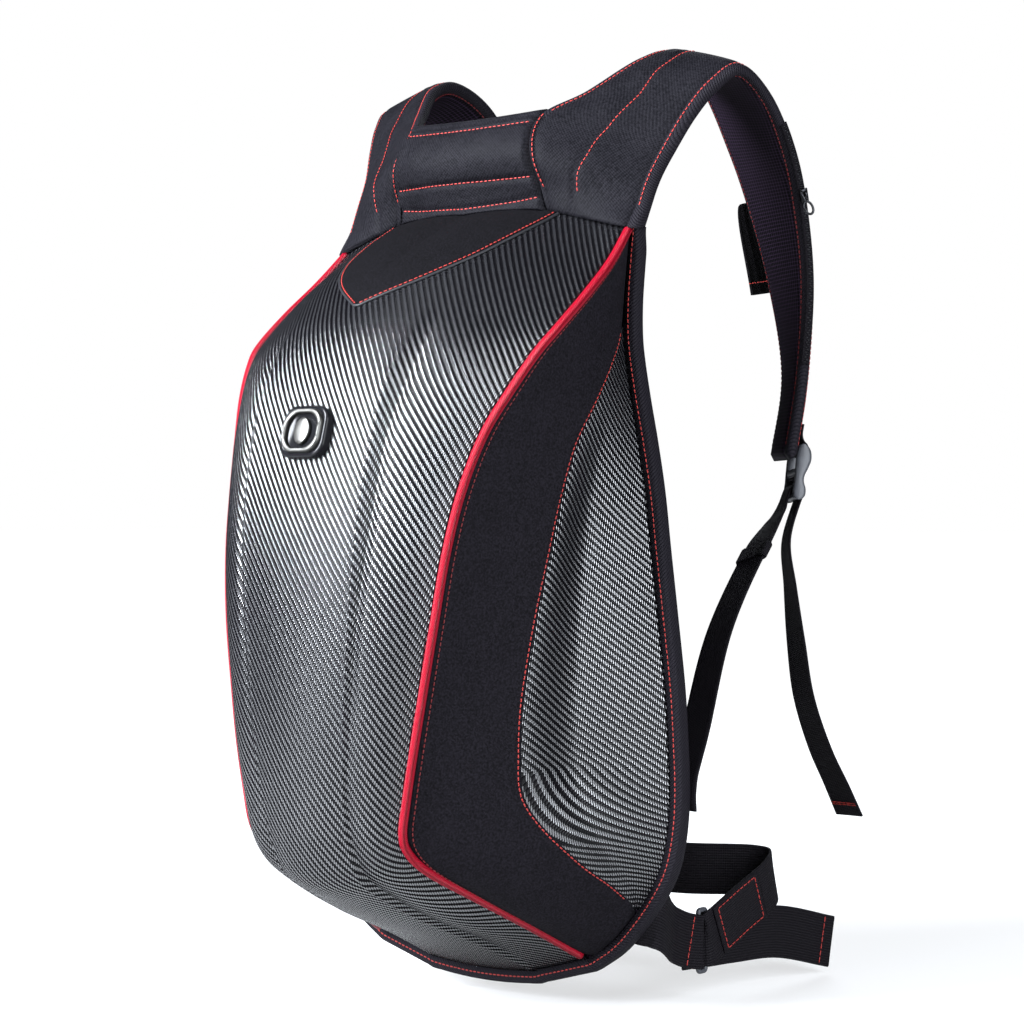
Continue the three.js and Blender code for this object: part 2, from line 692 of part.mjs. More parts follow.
// Ladder-lock buckle behind the lower end of each strap
const buckle_overlap = 10;
const buckle_bar = 4;
function ladder_lock() {
  const shape = rectangle(new THREE.Shape(), buckle_width, buckle_length, buckle_thickness);
  const slot_width = buckle_width - 2 * buckle_bar;
  const slot_height = (buckle_length - 3 * buckle_bar) / 2;
  [1, -1].forEach((side) => {
    const middle = side * (slot_height + buckle_bar) / 2;
    const corners = [[-1, -1], [1, -1], [1, 1], [-1, 1]].map(([x, y]) =>
      new THREE.Vector2(x * slot_width / 2, middle + y * slot_height / 2));
    shape.holes.push(new THREE.Path(corners));
  });
  const geometry = new THREE.ExtrudeGeometry(shape,
    { depth: buckle_thickness, bevelEnabled: false, curveSegments: 4 });
  geometry.translate(0, 0, -buckle_thickness / 2);
  return closed_extrusion(geometry);
}

const strap_end = strap_at(1);
const end_across = strap_end.outer.clone().sub(strap_end.inner).normalize();
const end_middle = lerp(strap_end.inner, strap_end.outer, 0.5);
const end_crown = (strap_pad - strap_edge_pad) / 2;
const buckle_frame = new THREE.Matrix4();
{
  const above = strap_at(1 - 1.5 / strap_steps);
  const up = lerp(above.inner, above.outer, 0.5).sub(end_middle).normalize();
  const out = up.clone().cross(end_across).normalize();
  const across = up.clone().cross(out);
  const lift = end_crown + clearance * 3 + buckle_thickness / 2;
  const middle = end_middle.clone().addScaledVector(out, lift)
    .addScaledVector(up, buckle_overlap - buckle_length / 2);
  buckle_frame.makeBasis(across, up, out).setPosition(middle);
}
const buckle_spot = (x, y, z) => vec(x, y, z).applyMatrix4(buckle_frame);
add_pair('ladder_lock', (turn) => {
  const geometry = ladder_lock().applyMatrix4(buckle_frame);
  return turn === mirror ? mirrored(geometry) : geometry;
}, black_plastic);

function mirrored(geometry) {
  const copy = geometry.clone().scale(-1, 1, 1);
  const index = copy.index.array;
  for (let i = 0; i < index.length; i += 3) {
    [index[i], index[i + 1]] = [index[i + 1], index[i]];
  }
  return copy;
}

// Adjuster webbing from each buckle to the tape at the bag's side. One row per point between them:
// along is a share of the way to the foot; aside and back are shares of the webbing's width.
const adjuster_columns = ['along', 'aside', 'back'];
const adjuster_rows = [
  [0.20, 0.00, -0.35],
  [0.50, -0.10, -0.40],
  [0.85, 0.05, 0.20],
];
const anchor_share = 0.655;
const webbing_steps = 16;
const foot_gap = clearance + webbing_thickness / 2;
const foot_lap = 14;
const lower_bar = buckle_spot(0, -buckle_length / 2, -buckle_thickness);
const webbing_top = buckle_spot(0, -buckle_length / 2 - buckle_thickness, -buckle_thickness);
const webbing_foot = lines_at(anchor_share).edge;
const adjuster_line = smooth_line([
  webbing_top,
  ...adjuster_rows.map((row) => {
    const [along, aside, back] = adjuster_columns.map((_, c) => row[c]);
    return lerp(lower_bar, webbing_foot, along)
      .add(vec(aside * webbing_width, back * webbing_width, 0));
  }),
  vec(webbing_foot.x, foot_gap, webbing_foot.z - foot_lap * 0.3),
  vec(webbing_foot.x, foot_gap, webbing_foot.z - foot_lap * 1.3),
], webbing_steps);
const adjuster_ways = adjuster_line.map((_, i) => {
  const k = i / webbing_steps;
  return vec(mix(0.9, 1, k), mix(-0.4, 0, k), 0);
});
add_pair('adjuster_webbing', (turn) => band(adjuster_line.map(turn), adjuster_ways.map(turn),
  webbing_width, webbing_thickness), black_webbing);

// Keeper: a short flat sleeve that the adjuster webbing runs through
const keeper_wall = 1.2;
const keeper_gap = 2 * clearance;
const keeper_step = 3;
add_pair('webbing_keeper', (turn) => {
  const above = adjuster_line[keeper_step];
  const below = adjuster_line[keeper_step + 1];
  const along = below.clone().sub(above).normalize();
  const face = along.clone().cross(adjuster_ways[keeper_step]).normalize();
  const side = face.clone().cross(along);
  const width = webbing_width + 2 * keeper_gap;
  const height = webbing_thickness + 2 * keeper_gap;
  const shape = rectangle(new THREE.Shape(), width + 2 * keeper_wall, height + 2 * keeper_wall, 0);
  shape.holes.push(rectangle(new THREE.Path(), width, height, 0));
  const geometry = new THREE.ExtrudeGeometry(shape, { depth: keeper_length, bevelEnabled: false });
  geometry.translate(0, 0, -keeper_length / 2);
  const frame = new THREE.Matrix4().makeBasis(side, face, along)
    .setPosition(lerp(above, below, 0.5));
  const sleeve = closed_extrusion(geometry).applyMatrix4(frame);
  return turn === mirror ? mirrored(sleeve) : sleeve;
}, black_webbing);

// Free end of the webbing, hanging from the buckle, as shares of tail_drop from its top
const tail_columns = ['aside', 'back', 'up'];
const tail_rows = [
  [0.000, 0.000, 0.000],
  [0.000, -0.030, -0.121],
  [0.005, -0.015, -0.261],
  [0.010, 0.010, -0.432],
  [0.015, 0.045, -0.603],
  [0.020, 0.131, -0.774],
  [0.025, 0.221, -0.899],
  [0.025, 0.296, -1.000],
];
const tail_steps = 14;
const tail_top = buckle_spot(0, -buckle_length / 2 - 5 * clearance,
  buckle_thickness / 2 - webbing_thickness);
const tail_line = smooth_line(tail_rows.map((row) => {
  const [aside, back, up] = tail_columns.map((_, c) => row[c] * tail_drop);
  return tail_top.clone().add(vec(aside, back, up));
}), tail_steps);
const tail_ways = tail_line.map((_, i) => vec(1, mix(-0.6, 0, i / tail_steps), 0));
add_pair('webbing_tail', (turn) => band(tail_line.map(turn), tail_ways.map(turn),
  webbing_width, webbing_thickness), black_webbing);

// Waist belt of ribbed elastic: the long band from the left, round behind, to its fold on the right
// and forward to the ring; the short band from the right side to the ring; and the free tail. Across
// is a share of half the bag's width, back a share of its depth behind the back panel, up a share of
// its height, and tilt the way that the band's width leans back.
const belt_columns = ['across', 'back', 'up', 'tilt'];
const long_rows = [
  [-0.689, 0.000, -0.493, 0.00],
  [-0.751, 0.003, -0.493, 0.00],
  [-0.819, 0.035, -0.490, 0.00],
  [-0.881, 0.231, -0.488, 0.00],
  [-0.771, 0.481, -0.488, 0.00],
  [-0.380, 0.631, -0.486, 0.00],
  [0.000, 0.661, -0.484, 0.00],
  [0.400, 0.661, -0.482, -0.05],
  [0.660, 0.781, -0.482, -0.15],
  [0.735, 0.790, -0.484, -0.25],
  [0.775, 0.731, -0.493, -0.30],
  [0.775, 0.536, -0.522, -0.40],
  [0.772, 0.384, -0.546, -0.45],
];
const short_rows = [
  [0.689, 0.000, -0.505, 0.00],
  [0.751, 0.003, -0.507, 0.00],
  [0.805, 0.035, -0.511, 0.00],
  [0.763, 0.175, -0.537, 0.00],
  [0.750, 0.280, -0.550, 0.00],
];
const free_rows = [
  [0.740, 0.379, -0.554, -0.25],
  [0.733, 0.575, -0.558, 0.00],
  [0.750, 0.807, -0.563, 0.15],
  [0.784, 1.109, -0.590, 0.30],
];
const ring_place = { across: 0.75, back: 0.343, up: -0.552 };
const belt_gap = 2 * clearance + belt_thickness / 2;

function belt_spot(at) {
  return vec(at.across * half_width, belt_gap + at.back * bag_depth, at.up * bag_height);
}

function belt_band(rows, steps) {
  const places = rows.map((_, i) => row_at(rows, belt_columns, i / (rows.length - 1)));
  const line = smooth_line(places.map(belt_spot), steps);
  const tilts = new THREE.CatmullRomCurve3(places.map((at) => vec(0, at.tilt, 1)));
  const ways = line.map((_, i) => tilts.getPoint(i / steps));
  return { line, ways };
}

function add_belt(name, rows, steps) {
  const { line, ways } = belt_band(rows, steps);
  add(name, band(line, ways, belt_width, belt_thickness), black_webbing);
}
const long_steps = 34;
add_belt('belt_long', long_rows, long_steps);
add_belt('belt_short', short_rows, 12);
add_belt('belt_tail', free_rows, 10);

// Square patch sewn on the outer side of the long band, just before the ring
const patch_from = long_steps - 4;
const patch_share = 0.9;
{
  const { line, ways } = belt_band(long_rows, long_steps);
  const away = vec(belt_thickness / 2 + 2 * clearance + patch_thickness / 2, 0, 0);
  const seat = line.slice(patch_from, long_steps).map((p) => p.clone().add(away));
  add('belt_patch', band(seat, ways.slice(patch_from, long_steps), belt_width * patch_share,
    patch_thickness), black_webbing);
}

// The ring stands upright between the two bands
function belt_ring() {
  const height = belt_width + 2 * clearance + 2 * ring_wire;
  const shape = rectangle(new THREE.Shape(), ring_depth, height, ring_depth * 0.24);
  shape.holes.push(rectangle(new THREE.Path(), ring_depth - 2 * ring_wire,
    height - 2 * ring_wire, 0));
  const geometry = new THREE.ExtrudeGeometry(shape,
    { depth: ring_wire, bevelEnabled: false, curveSegments: 4 });
  geometry.translate(0, 0, -ring_wire / 2);
  const frame = new THREE.Matrix4().makeBasis(vec(0, 1, 0), vec(0, 0, 1), vec(1, 0, 0))
    .setPosition(belt_spot(ring_place));
  return closed_extrusion(geometry).applyMatrix4(frame);
}
add('belt_ring', belt_ring(), black_plastic);

// Badge on the middle ridge: a gloss black plate, a metal ring and a plain lens-shaped insert
const badge_share = 0.333;
const badge_frame = new THREE.Matrix4();
{
  const here = shell_point(badge_share, 0);
  const up = shell_point(badge_share - 0.03, 0).sub(shell_point(badge_share + 0.03, 0)).normalize();
  const across = vec(1, 0, 0);
  const out = across.clone().cross(up).normalize();
  badge_frame.makeBasis(across, up, out).setPosition(here.addScaledVector(out, 2 * clearance));
}
function badge_piece(shape, from, depth) {
  const geometry = new THREE.ExtrudeGeometry(shape,
    { depth, bevelEnabled: false, curveSegments: 5 });
  geometry.translate(0, 0, from);
  return closed_extrusion(geometry).applyMatrix4(badge_frame);
}
add('badge_base',
  badge_piece(rectangle(new THREE.Shape(), badge_width, badge_height, badge_corner),
    0, badge_thickness), gloss_black);

const ring_shape = rectangle(new THREE.Shape(), badge_ring_width, badge_ring_height,
  badge_corner * 0.8);
const eye_width = badge_ring_width - 2 * badge_ring_band;
const eye_height = badge_ring_height - 2 * badge_ring_band;
ring_shape.holes.push(rectangle(new THREE.Path(), eye_width, eye_height, badge_corner * 0.45));
add('badge_ring',
  badge_piece(ring_shape, badge_thickness + clearance, badge_ring_thickness), satin_metal);

const lens = new THREE.Shape();
const lens_half = eye_width * 0.27;
const lens_tip = eye_height / 2 - clearance;
lens.moveTo(0, -lens_tip);
lens.quadraticCurveTo(2 * lens_half, 0, 0, lens_tip);
lens.quadraticCurveTo(-2 * lens_half, 0, 0, -lens_tip);
add('badge_insert',
  badge_piece(lens, badge_thickness + clearance, badge_ring_thickness * 0.8), satin_metal);

export default bag;
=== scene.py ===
"""A hard-shell motorcycle backpack: its leather-look shell, padded cloth, webbing, seams and stage.

Metres. X is to the right as seen from the front, the shell faces -Y, the wearer is at +Y and Z is
up. Every surface is worked out from the boxes of the frame's nodes and a few tables of shares.
"""

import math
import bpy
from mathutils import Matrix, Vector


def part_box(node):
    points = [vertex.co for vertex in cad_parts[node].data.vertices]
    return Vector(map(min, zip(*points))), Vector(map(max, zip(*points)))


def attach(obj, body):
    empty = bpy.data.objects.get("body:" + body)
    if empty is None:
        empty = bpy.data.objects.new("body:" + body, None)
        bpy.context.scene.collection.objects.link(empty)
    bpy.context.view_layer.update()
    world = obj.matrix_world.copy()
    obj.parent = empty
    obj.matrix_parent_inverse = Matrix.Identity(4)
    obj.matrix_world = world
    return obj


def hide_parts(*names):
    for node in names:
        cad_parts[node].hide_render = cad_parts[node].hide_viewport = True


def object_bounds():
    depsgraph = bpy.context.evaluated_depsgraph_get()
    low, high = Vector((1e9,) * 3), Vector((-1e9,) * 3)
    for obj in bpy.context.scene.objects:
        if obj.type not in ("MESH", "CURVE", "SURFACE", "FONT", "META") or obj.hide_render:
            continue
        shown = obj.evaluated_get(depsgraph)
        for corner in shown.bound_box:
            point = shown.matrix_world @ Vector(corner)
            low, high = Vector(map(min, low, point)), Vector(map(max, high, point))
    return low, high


bl_info = {
    "name": "Motorcycle Backpack",
    "version": (1, 0, 0),
    "blender": (4, 5, 0),
    "location": "View3D > Sidebar > Backpack",
    "description": "Builds the panels, pads, webbing, seams and stage of a motorcycle backpack",
    "category": "Add Mesh",
}

import bpy
import numpy as np
from bpy.props import FloatProperty, FloatVectorProperty, PointerProperty
from mathutils import Vector

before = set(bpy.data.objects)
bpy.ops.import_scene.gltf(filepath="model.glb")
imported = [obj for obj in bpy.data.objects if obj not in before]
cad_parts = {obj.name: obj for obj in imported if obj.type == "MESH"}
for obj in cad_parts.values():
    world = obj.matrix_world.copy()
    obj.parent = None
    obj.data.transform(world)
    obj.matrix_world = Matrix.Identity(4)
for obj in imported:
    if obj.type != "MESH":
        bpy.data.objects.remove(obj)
CAD_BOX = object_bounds()

# Sections down the bag, from the neck seam to the foot. Across is a share of half the bag's width,
# out a share of the depth in front of the back panel, up a share of the height, and inset how far
# back the side inset starts.
SECTION_COLUMNS = ("pipe_across", "pipe_out", "pipe_up", "dip_across", "dip_out", "dip_up",
                   "ridge_across", "ridge_out", "mid_out", "mid_up", "edge_across", "edge_up",
                   "inset")
SECTIONS = np.array([
    [0.751, 0.000, 0.356, 0.396, 0.023, 0.386, 0.273, 0.052, 0.072, 0.386, 0.751, 0.356, 1.00],
    [0.778, 0.146, 0.306, 0.396, 0.228, 0.349, 0.273, 0.268, 0.287, 0.349, 0.737, 0.312, 1.00],
    [0.792, 0.299, 0.262, 0.400, 0.434, 0.301, 0.280, 0.471, 0.496, 0.306, 0.724, 0.262, 1.00],
    [0.785, 0.447, 0.218, 0.401, 0.600, 0.249, 0.287, 0.643, 0.674, 0.253, 0.724, 0.218, 0.93],
    [0.758, 0.520, 0.190, 0.396, 0.705, 0.207, 0.294, 0.742, 0.773, 0.212, 0.737, 0.183, 0.80],
    [0.710, 0.600, 0.146, 0.375, 0.797, 0.153, 0.290, 0.840, 0.852, 0.157, 0.765, 0.135, 0.67],
    [0.648, 0.677, 0.092, 0.362, 0.871, 0.092, 0.287, 0.902, 0.908, 0.094, 0.799, 0.083, 0.57],
    [0.601, 0.742, 0.024, 0.348, 0.914, 0.022, 0.280, 0.945, 0.957, 0.022, 0.833, 0.022, 0.52],
    [0.569, 0.788, -0.050, 0.328, 0.945, -0.052, 0.270, 0.969, 0.985, -0.052, 0.860, -0.048, 0.48],
    [0.536, 0.814, -0.133, 0.300, 0.960, -0.133, 0.253, 0.975, 0.997, -0.133, 0.894, -0.131, 0.43],
    [0.489, 0.828, -0.223, 0.273, 0.957, -0.223, 0.232, 0.972, 1.000, -0.223, 0.928, -0.218, 0.40],
    [0.454, 0.835, -0.286, 0.253, 0.951, -0.288, 0.218, 0.963, 0.994, -0.288, 0.942, -0.284, 0.405],
    [0.420, 0.834, -0.341, 0.232, 0.932, -0.345, 0.205, 0.945, 0.975, -0.349, 0.949, -0.338, 0.43],
    [0.396, 0.828, -0.382, 0.225, 0.902, -0.395, 0.191, 0.914, 0.945, -0.402, 0.942, -0.384, 0.53],
    [0.392, 0.791, -0.406, 0.225, 0.840, -0.434, 0.191, 0.852, 0.877, -0.450, 0.915, -0.428, 0.66],
    [0.406, 0.705, -0.430, 0.232, 0.711, -0.465, 0.191, 0.717, 0.730, -0.480, 0.867, -0.461, 0.82],
    [0.437, 0.527, -0.463, 0.253, 0.533, -0.498, 0.205, 0.539, 0.545, -0.511, 0.778, -0.500, 1.00],
    [0.485, 0.262, -0.511, 0.280, 0.268, -0.537, 0.225, 0.275, 0.275, -0.550, 0.669, -0.537, 1.00],
    [0.549, 0.000, -0.563, 0.307, 0.000, -0.585, 0.246, 0.000, 0.000, -0.594, 0.549, -0.563, 1.00],
])
STATIONS = len(SECTIONS) - 1

MM = 0.001
SIDES = (("right", 1), ("left", -1))
SEAM_GAP = 0.3 * MM
SHELL_WALL = 3 * MM
PANEL_WALL = 2.5 * MM
TAPE_WIDTH = 7.3 * MM
FLANK_CROWN = 5 * MM
SIDE_CROWN = 5 * MM
INSET_RECESS = 9 * MM
RIDGE_SHARE = 0.38
DIP_SHARE = 0.52


def rows_at(table, t):
    """Smooth values through the rows of a table at each share t of the way down it."""
    t = np.atleast_1d(np.asarray(t, float))
    last = len(table) - 1
    place = np.clip(t, 0, 1) * last
    i = np.minimum(last - 1, place.astype(int))
    f = (place - i)[:, None]
    b, d = table[i], table[i + 1]
    a = np.where(i[:, None] > 0, table[np.maximum(i - 1, 0)], 2 * b - d)
    e = np.where(i[:, None] + 2 <= last, table[np.minimum(i + 2, last)], 2 * d - b)
    return 0.5 * (2 * b + (d - a) * f + (2 * a - 5 * b + 4 * d - e) * f ** 2
                  + (3 * b - a - 3 * d + e) * f ** 3)


def column(rows, name):
    return rows[:, SECTION_COLUMNS.index(name)]


FINE_ROWS = rows_at(SECTIONS, np.linspace(0, 1, 400))
BACK_LOW, BACK_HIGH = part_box("back_panel")
HALF_WIDTH = BACK_HIGH.x / column(FINE_ROWS, "edge_across").max()
BAG_HEIGHT = (BACK_HIGH.z - BACK_LOW.z) / (SECTIONS[0][9] - SECTIONS[-1][9])
BAG_DEPTH = -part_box("front_shell")[0].y
BACK_THICKNESS = -BACK_LOW.y
BACK_FRONT = BACK_THICKNESS + SEAM_GAP
SHELL_REACH = BAG_DEPTH - BACK_FRONT


def smooth(k):
    return k * k * (3 - 2 * k)


def ramp(k, start, end):
    return smooth(np.clip((k - start) / (end - start), 0, 1))


def bump_at(x, middle, half):
    """A smooth hump of height 1 at middle that has faded out half away from it."""
    return np.exp(-(((x - middle) / half) ** 2) * 2.5)


def unit(v):
    return v / np.maximum(np.linalg.norm(v, axis=-1, keepdims=True), 1e-12)


def lengths_along(line):
    """How far along a line each of its points lies."""
    return np.concatenate([[0], np.cumsum(np.linalg.norm(np.diff(line, axis=0), axis=1))])


def spot(across, out, up):
    return np.stack([across * HALF_WIDTH, -(BACK_FRONT + np.maximum(out, 0) * SHELL_REACH),
                     up * BAG_HEIGHT], -1)


def lines_at(t):
    """The lines that the bag's panels follow, on its right side, at each share t down the bag."""
    row = dict(zip(SECTION_COLUMNS, rows_at(SECTIONS, t).T))
    zero = np.zeros_like(row["inset"])
    return {
        "pipe": spot(row["pipe_across"], row["pipe_out"], row["pipe_up"]),
        "dip": spot(row["dip_across"], row["dip_out"], row["dip_up"]),
        "ridge": spot(row["ridge_across"], row["ridge_out"], (row["dip_up"] + row["mid_up"]) / 2),
        "mid": spot(zero, row["mid_out"], row["mid_up"]),
        "edge": spot(row["edge_across"], zero, row["edge_up"]),
        "inset": np.minimum(1, row["inset"]),
    }


def outward(start, end, t):
    """Unit vectors square to a line and to the way down the bag, pointing out of the bag."""
    step = 0.01
    before = lines_at(np.maximum(0, t - step))
    after = lines_at(np.minimum(1, t + step))
    down = after["pipe"] + after["mid"] - before["pipe"] - before["mid"]
    return unit(np.cross(down, end - start))


def mixed(a, b, k):
    return a + (b - a) * k[:, None]


GROOVE_DEPTH = 2.0 * MM
GROOVE_HALF = 0.045


def even_curve(line, k):
    """The shell's plain top: one even curve from its middle line to the piping."""
    shoulder = (line["ridge"] + line["dip"]) / 2
    a = ((k - 0.45) * (k - 1) / 0.45)[:, None]
    b = (k * (k - 1) / (0.45 * -0.55))[:, None]
    c = (k * (k - 0.45) / 0.55)[:, None]
    return line["mid"] * a + shoulder * b + line["pipe"] * c


def shell_points(t, k):
    """Points of the shell's outer face, t down the bag and k from its middle (0) to the piping (1)."""
    t, k = (x.ravel() for x in np.broadcast_arrays(t, k))
    line = lines_at(t)
    s = np.clip(k / RIDGE_SHARE, 0, 1)
    ridge = mixed(line["mid"], line["ridge"], s * s)
    ridge[:, 0] = line["ridge"][:, 0] * s
    s = np.clip((k - RIDGE_SHARE) / (DIP_SHARE - RIDGE_SHARE), 0, 1)
    slope = mixed(line["ridge"], line["dip"], ramp(s, 0.25, 1))
    slope[:, 0] = line["ridge"][:, 0] + (line["dip"][:, 0] - line["ridge"][:, 0]) * s
    s = np.clip((k - DIP_SHARE) / (1 - DIP_SHARE), 0, 1)
    crown = FLANK_CROWN * 4 * s * (1 - s) * ramp(t, 0, 0.15) * ramp(1 - t, 0, 0.1)
    out = outward(line["dip"], line["pipe"], t)
    flank = mixed(line["dip"], line["pipe"], s) + out * crown[:, None]
    points = np.where((k <= RIDGE_SHARE)[:, None], ridge,
                      np.where((k <= DIP_SHARE)[:, None], slope, flank))
    points = mixed(even_curve(line, k), points, ramp(t, 0.16, 0.27))
    groove = ramp(t, 0.20, 0.29) * (1 - ramp(t, 0.42, 0.64))
    dent = GROOVE_DEPTH * groove * bump_at(k, DIP_SHARE, GROOVE_HALF)
    return points - out * dent[:, None]


def crease_start(f):
    """How far down the bag the inset's lower facet starts, f from the piping to the back edge."""
    return (11.4 + 1.8 * np.clip((f - 0.6) / 0.4, -0.4, 1)) / STATIONS


def side_points(t, f, recessed=True):
    """Points of the side's outer face, t down the bag and f from the piping (0) to the edge (1)."""
    t, f = (x.ravel() for x in np.broadcast_arrays(t, f))
    line = lines_at(t)
    out = outward(line["pipe"], line["edge"], t)
    depth = np.linalg.norm(line["edge"] - line["pipe"], axis=1)
    lift = SIDE_CROWN * np.minimum(1, depth / (BAG_DEPTH / 2)) * 4 * f * (1 - f)
    if recessed:
        k = np.clip((f - line["inset"]) / np.maximum(1 - line["inset"], 1e-6), 0, 1)
        valley = np.where(k < 0.4, smooth(k / 0.4), 1 - (k - 0.4) / 0.6)
        start = crease_start(f)
        fade = ramp(t, 0.28, 0.45) * (1 - np.clip((t - start) / 0.15, 0, 1))
        lift = lift - INSET_RECESS * valley * fade
    return mixed(line["pipe"], line["edge"], f) + out * lift[:, None]


# Meshes

def grid_quads(rows, columns, wrap=False):
    """Quads between the points of a grid, joined round its columns where it is a tube."""
    across = columns if wrap else columns - 1
    i, j = np.meshgrid(np.arange(rows - 1), np.arange(across), indexing="ij")
    here = (i * columns + j).ravel()
    beside = (i * columns + (j + 1) % columns).ravel()
    return np.stack([here, beside, beside + columns, here + columns], -1)


def end_faces(rows, columns):
    """The two faces that close a tube's first and last ring."""
    return [list(range(columns))[::-1], [(rows - 1) * columns + j for j in range(columns)]]


def turned(faces, sign=-1):
    """Faces looked at from the other side where the sign is negative."""
    return [f[::-1] for f in faces] if sign < 0 else faces


def grid_normals(grid):
    along = np.gradient(grid, axis=0)
    across = np.gradient(grid, axis=1)
    return unit(np.cross(along, across))


def flow_over(grid, middle=False):
    """Lengths across and down a grid of points, for the weave: across from its middle or its start."""
    across = np.cumsum(np.linalg.norm(np.diff(grid, axis=1), axis=2), axis=1)
    across = np.concatenate([np.zeros((len(grid), 1)), across], axis=1)
    if middle:
        across = across - across[:, [grid.shape[1] // 2]]
    steps = np.linalg.norm(np.diff(grid, axis=0), axis=2).mean(axis=1)
    down = np.concatenate([[0], np.cumsum(steps)])[:, None] * np.ones_like(across)
    return np.stack([across, down], -1)


def make_piece(name, points, faces, finishes, flow=None, face_finish=None, replaces=(), slot=None):
    """A shaded mesh that rides with the bag. flow is where each point lies on its flat cloth."""
    mesh = bpy.data.meshes.new(name)
    mesh.from_pydata([tuple(p) for p in points], [], [tuple(int(i) for i in f) for f in faces])
    for finish in finishes:
        mesh.materials.append(finish)
    mesh.polygons.foreach_set("use_smooth", [True] * len(mesh.polygons))
    if face_finish is not None:
        mesh.polygons.foreach_set("material_index", [int(i) for i in face_finish])
    if flow is not None:
        place = np.zeros((len(points), 3), np.float32)
        place[:, :2] = flow
        attribute = mesh.attributes.new("flow", "FLOAT_VECTOR", "POINT")
        attribute.data.foreach_set("vector", place.ravel())
    mesh.validate()
    piece = bpy.data.objects.new(name, mesh)
    bpy.context.scene.collection.objects.link(piece)
    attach(piece, "root")
    if replaces:
        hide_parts(*replaces)
    return piece


def wall_mesh(grid, normals, thickness, flow):
    """Points, faces and flow of a closed wall whose outer face is a grid of points."""
    rows, columns = grid.shape[:2]
    outer = grid.reshape(-1, 3)
    inner = outer - normals.reshape(-1, 3) * thickness
    front = grid_quads(rows, columns)
    back = front[:, ::-1] + len(outer)
    ids = np.arange(rows * columns).reshape(rows, columns)
    rim = np.concatenate([ids[0, :-1], ids[:-1, -1], ids[-1, :0:-1], ids[:0:-1, 0]])
    after = np.roll(rim, -1)
    edge = np.stack([after, rim, rim + len(outer), after + len(outer)], -1)
    lengths = flow.reshape(-1, 2)
    return (np.concatenate([outer, inner]), np.concatenate([front, back, edge]),
            np.concatenate([lengths, lengths]))


def mirror_grid(grid):
    return grid[:, ::-1] * [-1, 1, 1]


def sharpen(piece, angle=0.7):
    """Keeps folds sharper than an angle crisp while the rest stays smooth."""
    piece.data.set_sharp_from_angle(angle=angle)
    return piece


# Finishes

def new_finish(name, **sockets):
    """A material with one principled shader, and the constant values of its sockets."""
    finish = bpy.data.materials.new(name)
    finish.use_nodes = True
    shader = finish.node_tree.nodes["Principled BSDF"]
    for socket, value in sockets.items():
        shader.inputs[socket.replace("_", " ")].default_value = value
    return finish, finish.node_tree, shader


def node(tree, kind, values=(), **settings):
    """A node with its settings, and numbers or sockets for its first inputs."""
    made = tree.nodes.new(kind)
    for key, value in settings.items():
        setattr(made, key, value)
    for i, value in (values.items() if isinstance(values, dict) else enumerate(values)):
        if isinstance(value, bpy.types.NodeSocket):
            tree.links.new(value, made.inputs[i])
        else:
            made.inputs[i].default_value = value
    return made


def calc(tree, operation, *values):
    return node(tree, "ShaderNodeMath", values, operation=operation).outputs[0]


def flow_parts(tree):
    """The two lengths across and down the cloth, in metres."""
    flow = node(tree, "ShaderNodeAttribute", attribute_name="flow").outputs["Vector"]
    parts = node(tree, "ShaderNodeSeparateXYZ", [flow])
    return parts.outputs[0], parts.outputs[1]


def hump(tree, value):
    """A rounded profile, 0 at each whole number of the value and 1 half way between."""
    part = calc(tree, "FRACT", value)
    away = calc(tree, "MULTIPLY_ADD", part, 2.0, -1.0)
    return calc(tree, "SUBTRACT", 1.0, calc(tree, "MULTIPLY", away, away))


def twill(tree, cell, run):
    """Height of a twill cloth whose threads pass over run cells, and 1 where the bright ones lie
    on top. Its ribs follow the flow's second direction."""
    along, beside = flow_parts(tree)
    first = calc(tree, "DIVIDE", calc(tree, "ADD", along, beside), cell * math.sqrt(2))
    second = calc(tree, "DIVIDE", calc(tree, "SUBTRACT", along, beside), cell * math.sqrt(2))
    total = calc(tree, "ADD", calc(tree, "FLOOR", first), calc(tree, "FLOOR", second))
    step = calc(tree, "FLOORED_MODULO", total, 2.0 * run)
    over = calc(tree, "LESS_THAN", step, run - 0.5)
    upper = calc(tree, "DIVIDE", calc(tree, "ADD", step, calc(tree, "FRACT", second)), run)
    lower = calc(tree, "SUBTRACT", calc(tree, "DIVIDE", calc(
        tree, "ADD", step, calc(tree, "FRACT", first)), run), 1.0)
    bright = calc(tree, "MULTIPLY", hump(tree, first),
                  calc(tree, "MULTIPLY_ADD", hump(tree, upper), 0.5, 0.5))
    dark = calc(tree, "MULTIPLY", hump(tree, second),
                calc(tree, "MULTIPLY_ADD", hump(tree, lower), 0.35, 0.25))
    height = node(tree, "ShaderNodeMix", {0: over, 2: dark, 3: bright}).outputs[0]
    return height, over


def speckle(tree, scale, detail=2.0, rough=0.6):
    place = node(tree, "ShaderNodeTexCoord").outputs["Object"]
    return node(tree, "ShaderNodeTexNoise", {"Vector": place, "Scale": scale, "Detail": detail,
                                             "Roughness": rough}).outputs[0]


def bumped(tree, shader, height, distance, strength=1.0):
    relief = node(tree, "ShaderNodeBump", {"Height": height, "Distance": distance,
                                           "Strength": strength})
    tree.links.new(relief.outputs[0], shader.inputs["Normal"])


def tinted(tree, shader, share, dark, light):
    """Colours a shader from dark to light by a share."""
    blend = node(tree, "ShaderNodeMix", {0: share, 6: (*dark, 1), 7: (*light, 1)}, data_type="RGBA")
    tree.links.new(blend.outputs[2], shader.inputs["Base Color"])


